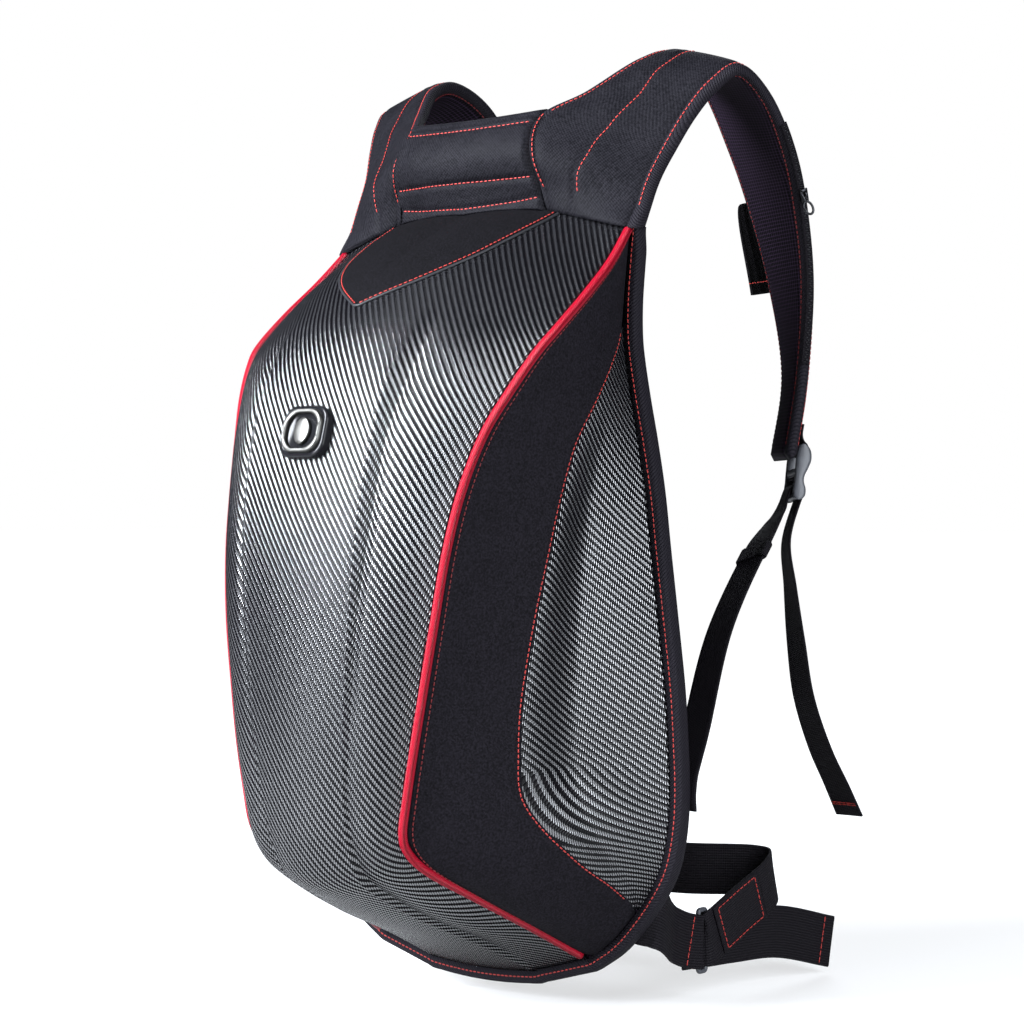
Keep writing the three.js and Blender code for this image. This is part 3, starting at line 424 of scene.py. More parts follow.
def leather_finish(look):
    """Glossy black sheet embossed as a twill of fine threads. The gaps between threads and the threads
    lying under are painted near black and mixed into a black unlit shader: painted shade in the weave's
    hollows.
    """
    finish, tree, shader = new_finish("carbon_look_leather", Roughness=0.27, IOR=1.75,
                                      Specular_IOR_Level=0.9)
    height, over = twill(tree, look.weave_cell, 2)
    # Painted shade: share is low in the gaps and on the threads lying under, and darkens the colour
    # there.
    share = calc(tree, "MULTIPLY", height, calc(tree, "MULTIPLY_ADD", over, 0.90, 0.10))
    share = calc(tree, "POWER", share, 1.2)
    tinted(tree, shader, share, (0.0004, 0.0004, 0.0006), look.leather_colour)
    bumped(tree, shader, calc(tree, "POWER", height, 0.45), 0.35 * MM)
    # Painted shade: a black unlit shader is mixed in where share is low, standing for the shade in the
    # channels.
    channel = node(tree, "ShaderNodeBsdfDiffuse", [(0.0012, 0.0011, 0.0015, 1)])
    seen = node(tree, "ShaderNodeMixShader", [calc(tree, "MULTIPLY_ADD", share, 1.6, 0.015),
                                              channel.outputs[0], shader.outputs[0]])
    tree.links.new(seen.outputs[0], tree.nodes["Material Output"].inputs["Surface"])
    return finish


def matte_finish(name, colour):
    """Soft charcoal cloth with a fine speckled grain."""
    finish, tree, shader = new_finish(name, Roughness=0.8, Specular_IOR_Level=0.045)
    grain = speckle(tree, 900)
    wide = speckle(tree, 40, 3.0)
    share = calc(tree, "MULTIPLY", calc(tree, "POWER", grain, 3.0),
                 calc(tree, "MULTIPLY_ADD", wide, 3.0, 3.0))
    tinted(tree, shader, share, tuple(c * 0.12 for c in colour), colour)
    bumped(tree, shader, grain, 0.3 * MM, 0.9)
    return finish


def piping_finish(look):
    """Red cord cover with a fine diagonal weave."""
    finish, tree, shader = new_finish("piping_cover", Roughness=0.4, Specular_IOR_Level=0.12)
    along, around = flow_parts(tree)
    ribs = hump(tree, calc(tree, "DIVIDE", calc(tree, "ADD", along, around), 1.3 * MM))
    tinted(tree, shader, ribs, (0.10, 0.0006, 0.005), look.piping_colour)
    bumped(tree, shader, ribs, 0.25 * MM)
    return finish


def tape_finish(look):
    """Black grosgrain tape with fine slanting ribs."""
    finish, tree, shader = new_finish("grosgrain_tape", Roughness=0.6, Specular_IOR_Level=0.05)
    along, around = flow_parts(tree)
    slant = calc(tree, "MULTIPLY_ADD", around, 0.9, along)
    ribs = hump(tree, calc(tree, "DIVIDE", slant, 2.1 * MM))
    threads = hump(tree, calc(tree, "DIVIDE", around, 0.8 * MM))
    height = calc(tree, "MULTIPLY_ADD", threads, 0.25, ribs)
    tinted(tree, shader, height, (0.002, 0.002, 0.003), look.tape_colour)
    bumped(tree, shader, height, 0.35 * MM)
    return finish


def thread_finish(name, colour):
    finish, tree, shader = new_finish(name, Roughness=0.5, Specular_IOR_Level=0.2)
    twist = speckle(tree, 900)
    tinted(tree, shader, twist, tuple(c * 0.55 for c in colour), colour)
    bumped(tree, shader, twist, 0.1 * MM, 0.5)
    return finish


# Sewing

STITCH_RINGS = ((-0.5, 0.35), (-0.36, 0.95), (0.36, 0.95), (0.5, 0.35))
STITCH_SIDES = 6


def resampled(points, spacing):
    """Evenly spaced points along a line, with the line's length."""
    far = lengths_along(points)
    count = max(2, int(round(far[-1] / spacing)) + 1)
    at = np.linspace(0, far[-1], count)
    return np.stack([np.interp(at, far, points[:, c]) for c in range(3)], -1), at


def stitch_row(points, normals, look, lift=0.0, length=None, pitch=None):
    """Points and faces of a row of thread stitches lying along a line on a surface."""
    length = length or look.stitch_length
    pitch = pitch or look.stitch_pitch
    places, _ = resampled(np.asarray(points), pitch)
    outs = np.stack([np.interp(np.linspace(0, 1, len(places)), np.linspace(0, 1, len(normals)),
                               normals[:, c]) for c in range(3)], -1)
    middle = (places[1:] + places[:-1]) / 2
    along = unit(places[1:] - places[:-1])
    out = outs[:-1]
    out = unit(out - along * np.sum(out * along, axis=1, keepdims=True))
    side = np.cross(out, along)
    angle = np.arange(STITCH_SIDES) * 2 * np.pi / STITCH_SIDES
    radius = look.thread_width / 2
    rings = []
    for share, size in STITCH_RINGS:
        for a in angle:
            rings.append(middle + along * share * length + side * radius * size * np.cos(a)
                         + out * (radius * 0.8 * size * np.sin(a) + lift + radius * 0.2))
    verts = np.stack(rings, 1)
    count = verts.shape[1]
    thread = (grid_quads(len(STITCH_RINGS), STITCH_SIDES, wrap=True).tolist()
              + end_faces(len(STITCH_RINGS), STITCH_SIDES))
    faces = [[j + i * count for j in face] for i in range(len(verts)) for face in thread]
    return verts.reshape(-1, 3), faces


def make_stitches(name, rows, finish):
    """One piece of thread from several rows of stitches."""
    points = []
    faces = []
    shift = 0
    for verts, polygons in rows:
        points.append(verts)
        faces.extend([[i + shift for i in f] for f in polygons])
        shift += len(verts)
    return make_piece(name, np.concatenate(points), faces, [finish])


def mirror_row(row):
    verts, faces = row
    return verts * [-1, 1, 1], turned(faces)


def sew_both(name, rows, finish):
    """Rows of stitches on the right side, and the same ones mirrored on the left."""
    make_stitches(f"{name}_stitches_right", rows, finish)
    make_stitches(f"{name}_stitches_left", [mirror_row(row) for row in rows], finish)


# Sizes and colours

class BackpackLook(bpy.types.PropertyGroup):
    """Sizes and colours of the bag's finishes."""

    weave_cell: FloatProperty(name="Weave cell", description="Width of one thread of the twill",
                              default=1.15 * MM, min=0.0002, unit="LENGTH")
    stitch_length: FloatProperty(name="Stitch length", description="Length of one visible stitch",
                                 default=2.2 * MM, min=0.0005, unit="LENGTH")
    stitch_pitch: FloatProperty(name="Stitch pitch", description="Distance from stitch to stitch",
                                default=3.1 * MM, min=0.001, unit="LENGTH")
    thread_width: FloatProperty(name="Thread width", description="Width of the sewing thread",
                                default=0.8 * MM, min=0.0002, unit="LENGTH")
    piping_diameter: FloatProperty(name="Piping diameter", description="Thickness of the red piping",
                                   default=5 * MM, min=0.001, unit="LENGTH")
    leather_colour: FloatVectorProperty(name="Leather", description="Colour of the shell",
                                        default=(0.014, 0.014, 0.0165), subtype="COLOR")
    cloth_colour: FloatVectorProperty(name="Panel cloth", description="Colour of the matte panels",
                                      default=(0.0064, 0.0056, 0.0076), subtype="COLOR")
    piping_colour: FloatVectorProperty(name="Piping", description="Colour of the red piping",
                                       default=(0.19, 0.0011, 0.009), subtype="COLOR")
    tape_colour: FloatVectorProperty(name="Tape", description="Colour of the edge tape",
                                     default=(0.0075, 0.0065, 0.0088), subtype="COLOR")
    thread_colour: FloatVectorProperty(name="Thread", description="Colour of the red thread",
                                       default=(0.27, 0.021, 0.017), subtype="COLOR")
    webbing_colour: FloatVectorProperty(name="Webbing", description="Colour of webbing and belt",
                                        default=(0.005, 0.0042, 0.0055), subtype="COLOR")
    yoke_colour: FloatVectorProperty(name="Yoke cloth", description="Colour of the padded cloth",
                                     default=(0.0070, 0.0066, 0.0083), subtype="COLOR")


def look_of(context):
    return context.scene.backpack_look


def finish_named(name, maker, *values):
    """The material of that name, made the first time that it is asked for."""
    return bpy.data.materials.get(name) or maker(*values)


def leather(look):
    return finish_named("carbon_look_leather", leather_finish, look)


def panel_cloth(look):
    return finish_named("matte_panel_cloth", matte_finish, "matte_panel_cloth", look.cloth_colour)


def shaded_leaf_cloth(look):
    """The panel cloth darkened for the leaf below the neck, which is the same cloth: painted shade."""
    # Painted shade: the panel cloth's colour cut to 0.45 of its brightness.
    dark = tuple(c * 0.45 for c in look.cloth_colour)
    return finish_named("matte_leaf_cloth_painted_shade", matte_finish, "matte_leaf_cloth_painted_shade", dark)


def red_thread(look):
    return finish_named("red_thread", thread_finish, "red_thread", look.thread_colour)


# Painted shade: the red thread darkened, for stitches on the lining and beside the piping that lie in
# shade.
def painted_shade_thread():
    return finish_named("painted_shade_thread", thread_finish, "painted_shade_thread", (0.12, 0.008, 0.009))


def black_thread():
    return finish_named("black_thread", thread_finish, "black_thread", (0.012, 0.012, 0.014))


def heavy_finish(look):
    """Heavy plain-woven nylon with a coarse speckled weave."""
    finish, tree, shader = new_finish("heavy_cloth", Roughness=0.6, Specular_IOR_Level=0.03)
    along, across = flow_parts(tree)
    first = calc(tree, "SINE", calc(tree, "MULTIPLY", along, 2 * math.pi / (2.1 * MM)))
    second = calc(tree, "SINE", calc(tree, "MULTIPLY", across, 2 * math.pi / (2.1 * MM)))
    weave = calc(tree, "MULTIPLY_ADD", calc(tree, "MULTIPLY", first, second), 0.3, 0.7)
    grain = speckle(tree, 600, 3.0)
    wide = speckle(tree, 55, 3.0)
    height = calc(tree, "MULTIPLY", weave, grain)
    share = calc(tree, "MULTIPLY", calc(tree, "POWER", height, 1.6),
                 calc(tree, "MULTIPLY_ADD", wide, 4.5, 1.4))
    tinted(tree, shader, share, (0.0004, 0.0004, 0.0008), look.yoke_colour)
    bumped(tree, shader, height, 0.45 * MM, 0.9)
    return finish


def webbing_finish(look):
    """Black woven nylon webbing with ribs across it and a tighter edge."""
    finish, tree, shader = new_finish("woven_nylon", Roughness=0.6, Specular_IOR_Level=0.05)
    along, across = flow_parts(tree)
    ribs = hump(tree, calc(tree, "DIVIDE", calc(tree, "MULTIPLY_ADD", across, 0.35, along),
                           1.25 * MM))
    threads = hump(tree, calc(tree, "DIVIDE", across, 1.7 * MM))
    height = calc(tree, "MULTIPLY_ADD", threads, 0.5, ribs)
    tinted(tree, shader, height, (0.001, 0.001, 0.0015), look.webbing_colour)
    bumped(tree, shader, height, 0.3 * MM)
    return finish


def elastic_finish(look):
    """Black elastic with cords along it, crossed by fine rows of thread."""
    finish, tree, shader = new_finish("ribbed_elastic", Roughness=0.6, Specular_IOR_Level=0.06)
    along, across = flow_parts(tree)
    cords = hump(tree, calc(tree, "DIVIDE", across, 1.6 * MM))
    rows = hump(tree, calc(tree, "DIVIDE", along, 1.1 * MM))
    height = calc(tree, "MULTIPLY_ADD", rows, 0.45, cords)
    tinted(tree, shader, height, (0.001, 0.001, 0.0015), look.webbing_colour)
    bumped(tree, shader, height, 0.4 * MM)
    return finish


def plastic_finish():
    """Moulded grey-black plastic with a faint grain and an uneven worn tone."""
    finish, tree, shader = new_finish("moulded_plastic", Roughness=0.45, Specular_IOR_Level=0.35)
    grain = speckle(tree, 700)
    wear = speckle(tree, 90, 4.0)
    tinted(tree, shader, wear, (0.010, 0.0105, 0.012), (0.048, 0.050, 0.058))
    bumped(tree, shader, grain, 0.08 * MM, 0.5)
    return finish


def gloss_finish():
    """Gloss black lacquer with a faint unevenness."""
    finish, tree, shader = new_finish("gloss_lacquer", Roughness=0.12, Specular_IOR_Level=0.1)
    tinted(tree, shader, speckle(tree, 60), (0.003, 0.003, 0.0035), (0.007, 0.007, 0.008))
    bumped(tree, shader, speckle(tree, 45), 0.05 * MM, 0.3)
    return finish


def metal_finish(name, dark, light, roughness):
    finish, tree, shader = new_finish(name, Metallic=1.0, Roughness=roughness)
    tinted(tree, shader, speckle(tree, 260, 3.0), dark, light)
    bumped(tree, shader, speckle(tree, 1500), 0.05 * MM, 0.4)
    return finish


def heavy_cloth(look):
    return finish_named("heavy_cloth", heavy_finish, look)


def edge_tape(look):
    return finish_named("grosgrain_tape", tape_finish, look)


def air_mesh():
    return finish_named("air_mesh", mesh_finish)


def webbing(look):
    return finish_named("woven_nylon", webbing_finish, look)


def elastic(look):
    return finish_named("ribbed_elastic", elastic_finish, look)


def plastic():
    return finish_named("moulded_plastic", plastic_finish)


def gloss_black():
    return finish_named("gloss_lacquer", gloss_finish)


def satin():
    return finish_named("satin_nickel", metal_finish, "satin_nickel", (0.05, 0.049, 0.046),
                        (0.085, 0.083, 0.078), 0.42)


def dark_metal():
    return finish_named("dark_metal", metal_finish, "dark_metal", (0.012, 0.012, 0.013),
                        (0.03, 0.03, 0.032), 0.35)


# The way the twill's ribs run: their slope down the bag for each step across it
RIB_SLOPE = 1.4


def twill_flow(flow):
    """Turns lengths across and down into lengths beside and along the twill's ribs."""
    size = math.hypot(1, RIB_SLOPE)
    across, down = flow[..., 0], flow[..., 1]
    return np.stack([RIB_SLOPE * across - down, across + RIB_SLOPE * down], -1) / size


class BACKPACK_OT_front_shell(bpy.types.Operator):
    """Moulded front shell with its middle ridge, side grooves and dark seams."""

    bl_idname = "backpack.front_shell"
    bl_label = "Front Shell"

    def execute(self, context):
        look = look_of(context)
        t = np.linspace(0, 1, 190)
        bends = np.concatenate([np.linspace(0, 0.36, 14), np.linspace(0.372, 0.60, 30),
                                np.linspace(0.62, 0.985, 16)])
        k = np.concatenate([-bends[:0:-1], bends])
        tt, kk = np.meshgrid(t, k, indexing="ij")
        grid = shell_points(tt, np.abs(kk)).reshape(*tt.shape, 3)
        grid[..., 0] *= np.sign(kk)
        grid[..., 1] = np.minimum(grid[..., 1], -BACK_FRONT)
        normals = grid_normals(grid)
        flow = twill_flow(flow_over(grid, middle=True))
        points, faces, lengths = wall_mesh(grid, normals, SHELL_WALL, flow)
        points[:, 1] = np.minimum(points[:, 1], -BACK_FRONT)
        make_piece("shell_skin", points, faces, [leather(look)], lengths,
                   replaces=["front_shell"], slot="carbon_leather")
        seam = shell_points(np.linspace(0.24, 0.6, 120), np.full(120, RIDGE_SHARE + 0.03))
        out = np.tile([0.0, -1.0, 0.0], (120, 1))
        row = stitch_row(seam, out, look, lift=-0.3 * MM, length=3.6 * MM, pitch=5.2 * MM)
        make_stitches("ridge_stitches", [row, mirror_row(row)], black_thread())
        return {"FINISHED"}


class BACKPACK_OT_side_panels(bpy.types.Operator):
    """Matte side panels and their recessed twill insets, with their stitched borders."""

    bl_idname = "backpack.side_panels"
    bl_label = "Side Panels"

    def execute(self, context):
        look = look_of(context)
        t = np.linspace(0.012, 0.985, 170)
        line = lines_at(t)
        f = np.linspace(0, 1, 26)
        start = 1.2 * MM / np.maximum(np.linalg.norm(line["edge"] - line["pipe"], axis=1), 0.004)
        end = np.maximum(line["inset"], start * 2)
        share = start[:, None] + (end - start)[:, None] * f[None, :]
        tt = np.repeat(t[:, None], len(f), axis=1)
        grid = side_points(tt, share, recessed=False).reshape(*tt.shape, 3)
        normals = grid_normals(grid)
        from_seam = np.minimum(f, 1 - f) * np.ones_like(tt)
        roll = 1.0 * MM * (1 - np.clip(from_seam / 0.06, 0, 1)) ** 2
        grid = grid - normals * roll[..., None]
        grid[..., 1] = np.minimum(grid[..., 1], -BACK_FRONT)
        self.add_pair("side_panel", grid, PANEL_WALL, flow_over(grid), panel_cloth(look),
                      "matte_fabric")
        self.add_inset(look)
        self.add_stitches(look)
        return {"FINISHED"}

    def add_pair(self, name, grid, thickness, flow, finish, slot):
        for side, points_grid, lengths in (("right", grid, flow),
                                           ("left", mirror_grid(grid), flow[:, ::-1])):
            points, faces, spread = wall_mesh(points_grid, grid_normals(points_grid), thickness,
                                              lengths)
            make_piece(f"{name}_{side}_skin", points, faces, [finish], spread,
                       replaces=[f"{name}_{side}"], slot=slot)

    def add_inset(self, look):
        t = np.linspace(0.15, 0.88, 170)
        line = lines_at(t)
        k = np.linspace(0, 1, 44)
        begin = np.minimum(line["inset"] - 0.02, 0.985)
        share = begin[:, None] + (1 - begin)[:, None] * k[None, :]
        tt = np.repeat(t[:, None], len(k), axis=1)
        grid = side_points(tt, share).reshape(*tt.shape, 3)
        normals = grid_normals(grid)
        grid = grid - normals * 0.8 * MM
        grid[..., 1] = np.minimum(grid[..., 1], -BACK_FRONT)
        flow = flow_over(grid)
        flow[..., 0] -= flow[:, -1:, 0]
        flow = self.bent_flow(flow)
        self.add_pair("side_inset", grid, PANEL_WALL * 0.7, flow, leather(look), "carbon_leather")

    def bent_flow(self, flow):
        """Rib lengths that start steep at the top of the inset and flatten towards its foot."""
        across, down = flow[..., 0], flow[..., 1]
        lengths = down[:, 0]
        angle = np.interp(lengths / lengths[-1], [0, 0.35, 0.72, 0.85, 1],
                          [1.05, 0.72, 0.58, 0.2, 0.1])
        step = np.gradient(lengths)
        beside = np.cumsum(np.cos(angle) * step)[:, None]
        along = np.cumsum(np.sin(angle) * step)[:, None]
        sine, cosine = np.sin(angle)[:, None], np.cos(angle)[:, None]
        return np.stack([sine * across - beside, cosine * across + along], -1)

    def add_stitches(self, look):
        t = np.linspace(0.02, 0.975, 260)
        line = lines_at(t)
        depth = np.linalg.norm(line["edge"] - line["pipe"], axis=1)
        share = 5.4 * MM / depth
        keep = share < line["inset"] * 0.9
        beside_piping = side_points(t[keep], share[keep], recessed=False)
        out = outward(line["pipe"], line["edge"], t)
        # These hem stitches use the red thread darkened as painted shade.
        sew_both("hem", [stitch_row(beside_piping, out[keep], look, lift=0.1 * MM)], painted_shade_thread())
        inner = (line["inset"] < 0.97) & (t > 0.16) & (t < 0.86)
        share = line["inset"] - 2.6 * MM / depth
        border = side_points(t[inner], share[inner], recessed=False)
        sew_both("side", [stitch_row(border, out[inner], look, lift=-0.1 * MM)], red_thread(look))


def tube(line, ways, outline):
    """Rings of an outline swept along a line. ways point to the outline's first axis."""
    along = unit(np.gradient(line, axis=0))
    side = unit(ways - along * np.sum(ways * along, axis=1, keepdims=True))
    face = np.cross(along, side)
    return (line[:, None] + side[:, None] * outline[None, :, :1]
            + face[:, None] * outline[None, :, 1:])


def tube_mesh(rings):
    """Points, faces and flow of a tube through closed rings, with its ends closed."""
    rows, columns = rings.shape[:2]
    faces = grid_quads(rows, columns, wrap=True).tolist() + end_faces(rows, columns)
    along = lengths_along(rings.mean(axis=1))
    around = lengths_along(rings[rows // 2])
    flow = np.stack(np.meshgrid(along, around, indexing="ij"), -1)
    return rings.reshape(-1, 3), faces, flow.reshape(-1, 2)


def round_outline(radius, sides):
    angle = np.arange(sides) * 2 * np.pi / sides
    return np.stack([np.cos(angle), np.sin(angle)], -1) * radius


class BACKPACK_OT_piping(bpy.types.Operator):
    """Red piping in the joint between the shell and each side panel."""

    bl_idname = "backpack.piping"
    bl_label = "Piping"

    def execute(self, context):
        look = look_of(context)
        t = np.linspace(0.006, 0.992, 360)
        line = lines_at(t)
        out = unit(outward(line["dip"], line["pipe"], t) + outward(line["pipe"], line["edge"], t))
        radius = look.piping_diameter / 2
        middle = line["pipe"] + out * radius * 0.15
        middle[:, 1] = np.minimum(middle[:, 1], -BACK_FRONT - radius)
        finish = finish_named("piping_cover", piping_finish, look)
        for side, sign in SIDES:
            path = middle * [sign, 1, 1]
            rings = tube(path, out * [sign, 1, 1], round_outline(radius, 14))
            points, faces, flow = tube_mesh(rings)
            make_piece(f"piping_{side}_cord", points, turned(faces, sign), [finish], flow,
                       replaces=[f"piping_{side}"], slot="red_piping")
        return {"FINISHED"}


TOP_PANEL_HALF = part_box("top_panel")[1].x
TOP_PANEL_SHARES = np.array([[1], [0.95], [0.87], [0.74], [0.48], [0.03]])
TOP_PANEL_END = (len(TOP_PANEL_SHARES) - 1) / 30


def shell_share(t, across):
    """The share k of the shell's half width at which its outer face lies a given way across."""
    low = np.zeros_like(across)
    high = np.ones_like(across)
    for _ in range(24):
        k = (low + high) / 2
        inside = shell_points(t, k)[:, 0] < across
        low = np.where(inside, k, low)
        high = np.where(inside, high, k)
    return (low + high) / 2


def on_shell(t, across):
    """Points of the shell's outer face at a signed distance across, and the ways out of it."""
    t, across = (x.ravel() for x in np.broadcast_arrays(t, across))
    k = shell_share(t, np.abs(across))
    here = shell_points(t, k)
    beside = shell_points(t, k + 0.01) - here
    below = shell_points(np.minimum(1, t + 0.005), k) - here
    out = unit(np.cross(below, beside))
    sign = np.where(across < 0, -1.0, 1.0)[:, None] * [1, 0, 0] + [0, 1, 1]
    return here * sign, out * sign


class BACKPACK_OT_top_panel(bpy.types.Operator):
    """Matte pointed leaf below the neck seam, edged with a thin cord and stitches."""

    bl_idname = "backpack.top_panel"
    bl_label = "Top Panel"

    def execute(self, context):
        look = look_of(context)
        k = np.linspace(0, 1, 60) ** 0.8
        t = 0.004 + k * (TOP_PANEL_END - 0.004)
        half = TOP_PANEL_HALF * rows_at(TOP_PANEL_SHARES, k)[:, 0]
        c = np.linspace(-1, 1, 49)
        tt = np.repeat(t[:, None], len(c), axis=1)
        across = half[:, None] * c[None, :]
        here, out = on_shell(tt, across)
        here, out = here.reshape(*tt.shape, 3), out.reshape(*tt.shape, 3)
        near = np.minimum(1 - np.abs(c[None, :]), (1 - k)[:, None] * 2) * half[:, None]
        lift = 0.3 * MM + 1.1 * MM * np.sqrt(np.clip(near / (5 * MM), 0, 1))
        grid = here + out * lift[..., None]
        points, faces, flow = wall_mesh(grid, out, 1.2 * MM, flow_over(grid, middle=True))
        make_piece("top_panel_skin", points, faces, [shaded_leaf_cloth(look)], flow,
                   replaces=["top_panel"], slot="matte_fabric")
        self.add_edge(look, t, half)
        return {"FINISHED"}

    def add_edge(self, look, t, half):
        """The cord round the leaf and the stitches inside it."""
        outline = [on_shell(t, half), on_shell(t[::-1], -half[::-1])]
        line, out = (np.concatenate(part) for part in zip(*outline))
        line, _ = resampled(line + out * 0.6 * MM, 2 * MM)
        ways = np.tile([0.0, -0.5, 0.86], (len(line), 1))
        points, faces, flow = tube_mesh(tube(line, ways, round_outline(0.8 * MM, 8)))
        make_piece("top_panel_cord", points, faces, [black_thread()], flow, slot="ribbed_tape")
        rows = []
        for sign in (1, -1):
            inside = sign * np.maximum(half - 2.6 * MM, 0.5 * MM)
            keep = half > 4 * MM
            line, out = on_shell(t[keep], inside[keep])
            rows.append(stitch_row(line + out * 1.2 * MM, out, look))
        make_stitches("top_panel_stitches", rows, red_thread(look))


def edge_outline():
    """The bag's outline in the plane of the back panel, from the right shoulder round the foot."""
    right = lines_at(np.linspace(0, 1, 150))["edge"][:, [0, 2]]
    foot = shell_points(np.ones(40), np.linspace(1, 0, 40))[:, [0, 2]]
    half = np.concatenate([right, foot[1:]])
    return np.concatenate([half, half[-2::-1] * [-1, 1]])


class BACKPACK_OT_back(bpy.types.Operator):
    """Padded back panel and the woven tape folded round its edge."""

    bl_idname = "backpack.back"
    bl_label = "Back Panel and Tape"

    def execute(self, context):
        look = look_of(context)
        self.add_panel()
        self.add_tape(look)
        return {"FINISHED"}

    def add_panel(self):
        t = np.linspace(0, 1, 150)
        c = np.linspace(-1, 1, 91)
        line = lines_at(t)
        tt, cc = np.meshgrid(t, c, indexing="ij")
        x = line["edge"][:, 0][:, None] * cc
        z = line["edge"][:, 2][:, None] + (line["mid"][:, 2] - line["edge"][:, 2])[:, None] \
            * (1 - cc ** 2)
        rim = np.clip(np.minimum(1 - np.abs(cc), np.minimum(tt, 1 - tt) * 2) / 0.06, 0, 1)
        channel = bump_at(np.abs(cc), 0.30, 0.06) + 0.8 * bump_at(tt, 0.62, 0.02)
        y = -3 * MM * (1 - np.sqrt(rim)) - 2.6 * MM * np.minimum(1, channel)
        grid = np.stack([x, y, z], -1)[:, ::-1]
        points, faces, lengths = wall_mesh(grid, np.zeros_like(grid), 0,
                                           flow_over(grid, middle=True))
        points[len(points) // 2:, 1] = -BACK_THICKNESS
        panel = make_piece("back_pad", points, faces, [air_mesh()], lengths,
                           replaces=["back_panel"], slot="mesh_fabric")

    def add_tape(self, look):
        outline = edge_outline()
        line = np.stack([outline[:, 0], np.zeros(len(outline)), outline[:, 1]], -1)
        line, _ = resampled(line, 2.2 * MM)
        along = unit(np.gradient(line, axis=0))
        out = np.stack([-along[:, 2], np.zeros(len(line)), along[:, 0]], -1)
        far = lengths_along(line)
        ends = np.minimum(far, far[-1] - far)
        slim = (0.74 + 0.26 * ramp(ends, 0, 16 * MM))[:, None]
        width, deep, corner = TAPE_WIDTH, BACK_THICKNESS, 2.2 * MM
        profile = [(-0.4 * MM, -deep - 0.9 * MM), (width * 0.5, -deep - 1.1 * MM)]
        profile += [(width - corner + corner * math.sin(a), -deep - 0.9 * MM + corner
                     - corner * math.cos(a)) for a in np.linspace(0, math.pi / 2, 6)]
        profile += [(width + 0.4 * MM, -deep / 2)]
        profile += [(width - corner + corner * math.cos(a), -corner + corner * math.sin(a))
                    for a in np.linspace(0, math.pi / 2, 6)]
        profile += [(width * 0.5, 0.2 * MM), (-0.4 * MM, 0)]
        rings = np.stack([line + out * o * slim + np.array([0, 1.0, 0]) * y for o, y in profile], 1)
        points, faces, flow = tube_mesh(rings)
        make_piece("edge_tape", points, faces, [edge_tape(look)], flow,
                   replaces=["edge_binding"], slot="ribbed_tape")
        middle = line + out * width * 0.42 + np.array([0, 1.0, 0]) * (-deep - 1.1 * MM)
        row = stitch_row(middle, np.tile([0.0, -1.0, 0.0], (len(middle), 1)), look)
        make_stitches("edge_stitches", [row], red_thread(look))


def mesh_finish():
    """Dark spacer mesh with round holes in staggered rows."""
    finish, tree, shader = new_finish("air_mesh", Roughness=0.7, Specular_IOR_Level=0.04)
    along, across = flow_parts(tree)
    size = 4.6 * MM
    first = calc(tree, "SINE", calc(tree, "MULTIPLY", along, 2 * math.pi / size))
    second = calc(tree, "SINE", calc(tree, "MULTIPLY", across, 2 * math.pi / (size * 1.2)))
    holes = calc(tree, "ABSOLUTE", calc(tree, "MULTIPLY", first, second))
    tinted(tree, shader, calc(tree, "MULTIPLY", holes, 2.2), (0.016, 0.0095, 0.019),
           (0.0004, 0.0003, 0.0006))
    bumped(tree, shader, holes, 0.6 * MM, -1.0)
    return finish


# Harness

# The shoulder strap from its root at the neck seam to the buckle: the inner and outer edges of its
# outer face, and the way its padding lies. Across is a share of half the bag's width, back a share
# of the strap's reach and up a share of the bag's height or of the strap's rise above the neck seam.
STRAP_ROWS = np.array([
    [0.396, -0.066, 0.00, 0.801, -0.049, -0.14, 0, 1, 0],
    [0.362, -0.153, 0.30, 0.805, 0.016, 0.12, 0, 1, 0],
    [0.335, -0.095, 0.55, 0.829, 0.079, 0.33, 0, 1, -0.15],
    [0.437, 0.032, 0.71, 0.874, 0.137, 0.54, -0.1, 0.85, -0.5],
    [0.546, 0.195, 0.93, 0.922, 0.200, 0.71, -0.1, 0.6, -0.8],
    [0.573, 0.347, 1.00, 0.976, 0.295, 0.84, -0.1, 0, -1],
    [0.573, 0.526, 0.86, 1.003, 0.421, 0.70, -0.15, -0.6, -0.8],
    [0.573, 0.695, 0.49, 0.997, 0.547, 0.44, -0.35, -0.85, -0.4],
    [0.580, 0.805, 0.13, 0.969, 0.653, 0.12, -0.45, -0.9, 0],
    [0.580, 0.937, -0.37, 0.928, 0.747, -0.37, -0.56, -0.83, 0],
    [0.594, 1.000, -0.91, 0.874, 0.779, -0.91, -0.7, -0.7, 0],
    [0.587, 0.937, -1.44, 0.833, 0.753, -1.44, -0.7, -0.7, 0.05],
])
STRAP_LAST = len(STRAP_ROWS) - 1
STRAP_STEPS = 150
ROOT_REACH = 2 / STRAP_LAST
STRAP_REACH = 190 * MM
STRAP_RISE = 100 * MM
STRAP_EDGE = 7 * MM
STRAP_CROWN = 2 * MM
STRAP_TAPE = 6 * MM
# The long seam down the strap's outer cloth: share of the way down, and share of the way across
# from the inner edge.
PANEL_SEAM = np.array([[0.0, 0.30], [0.025, 0.33], [0.076, 0.38], [0.120, 0.45], [0.191, 0.50],
                       [0.286, 0.45], [0.341, 0.35], [0.401, 0.32], [0.45, 0.31]])


def strap_place(across, back, up, neck_up):
    return np.stack([across * HALF_WIDTH, back * STRAP_REACH, neck_up + up * STRAP_RISE], -1)


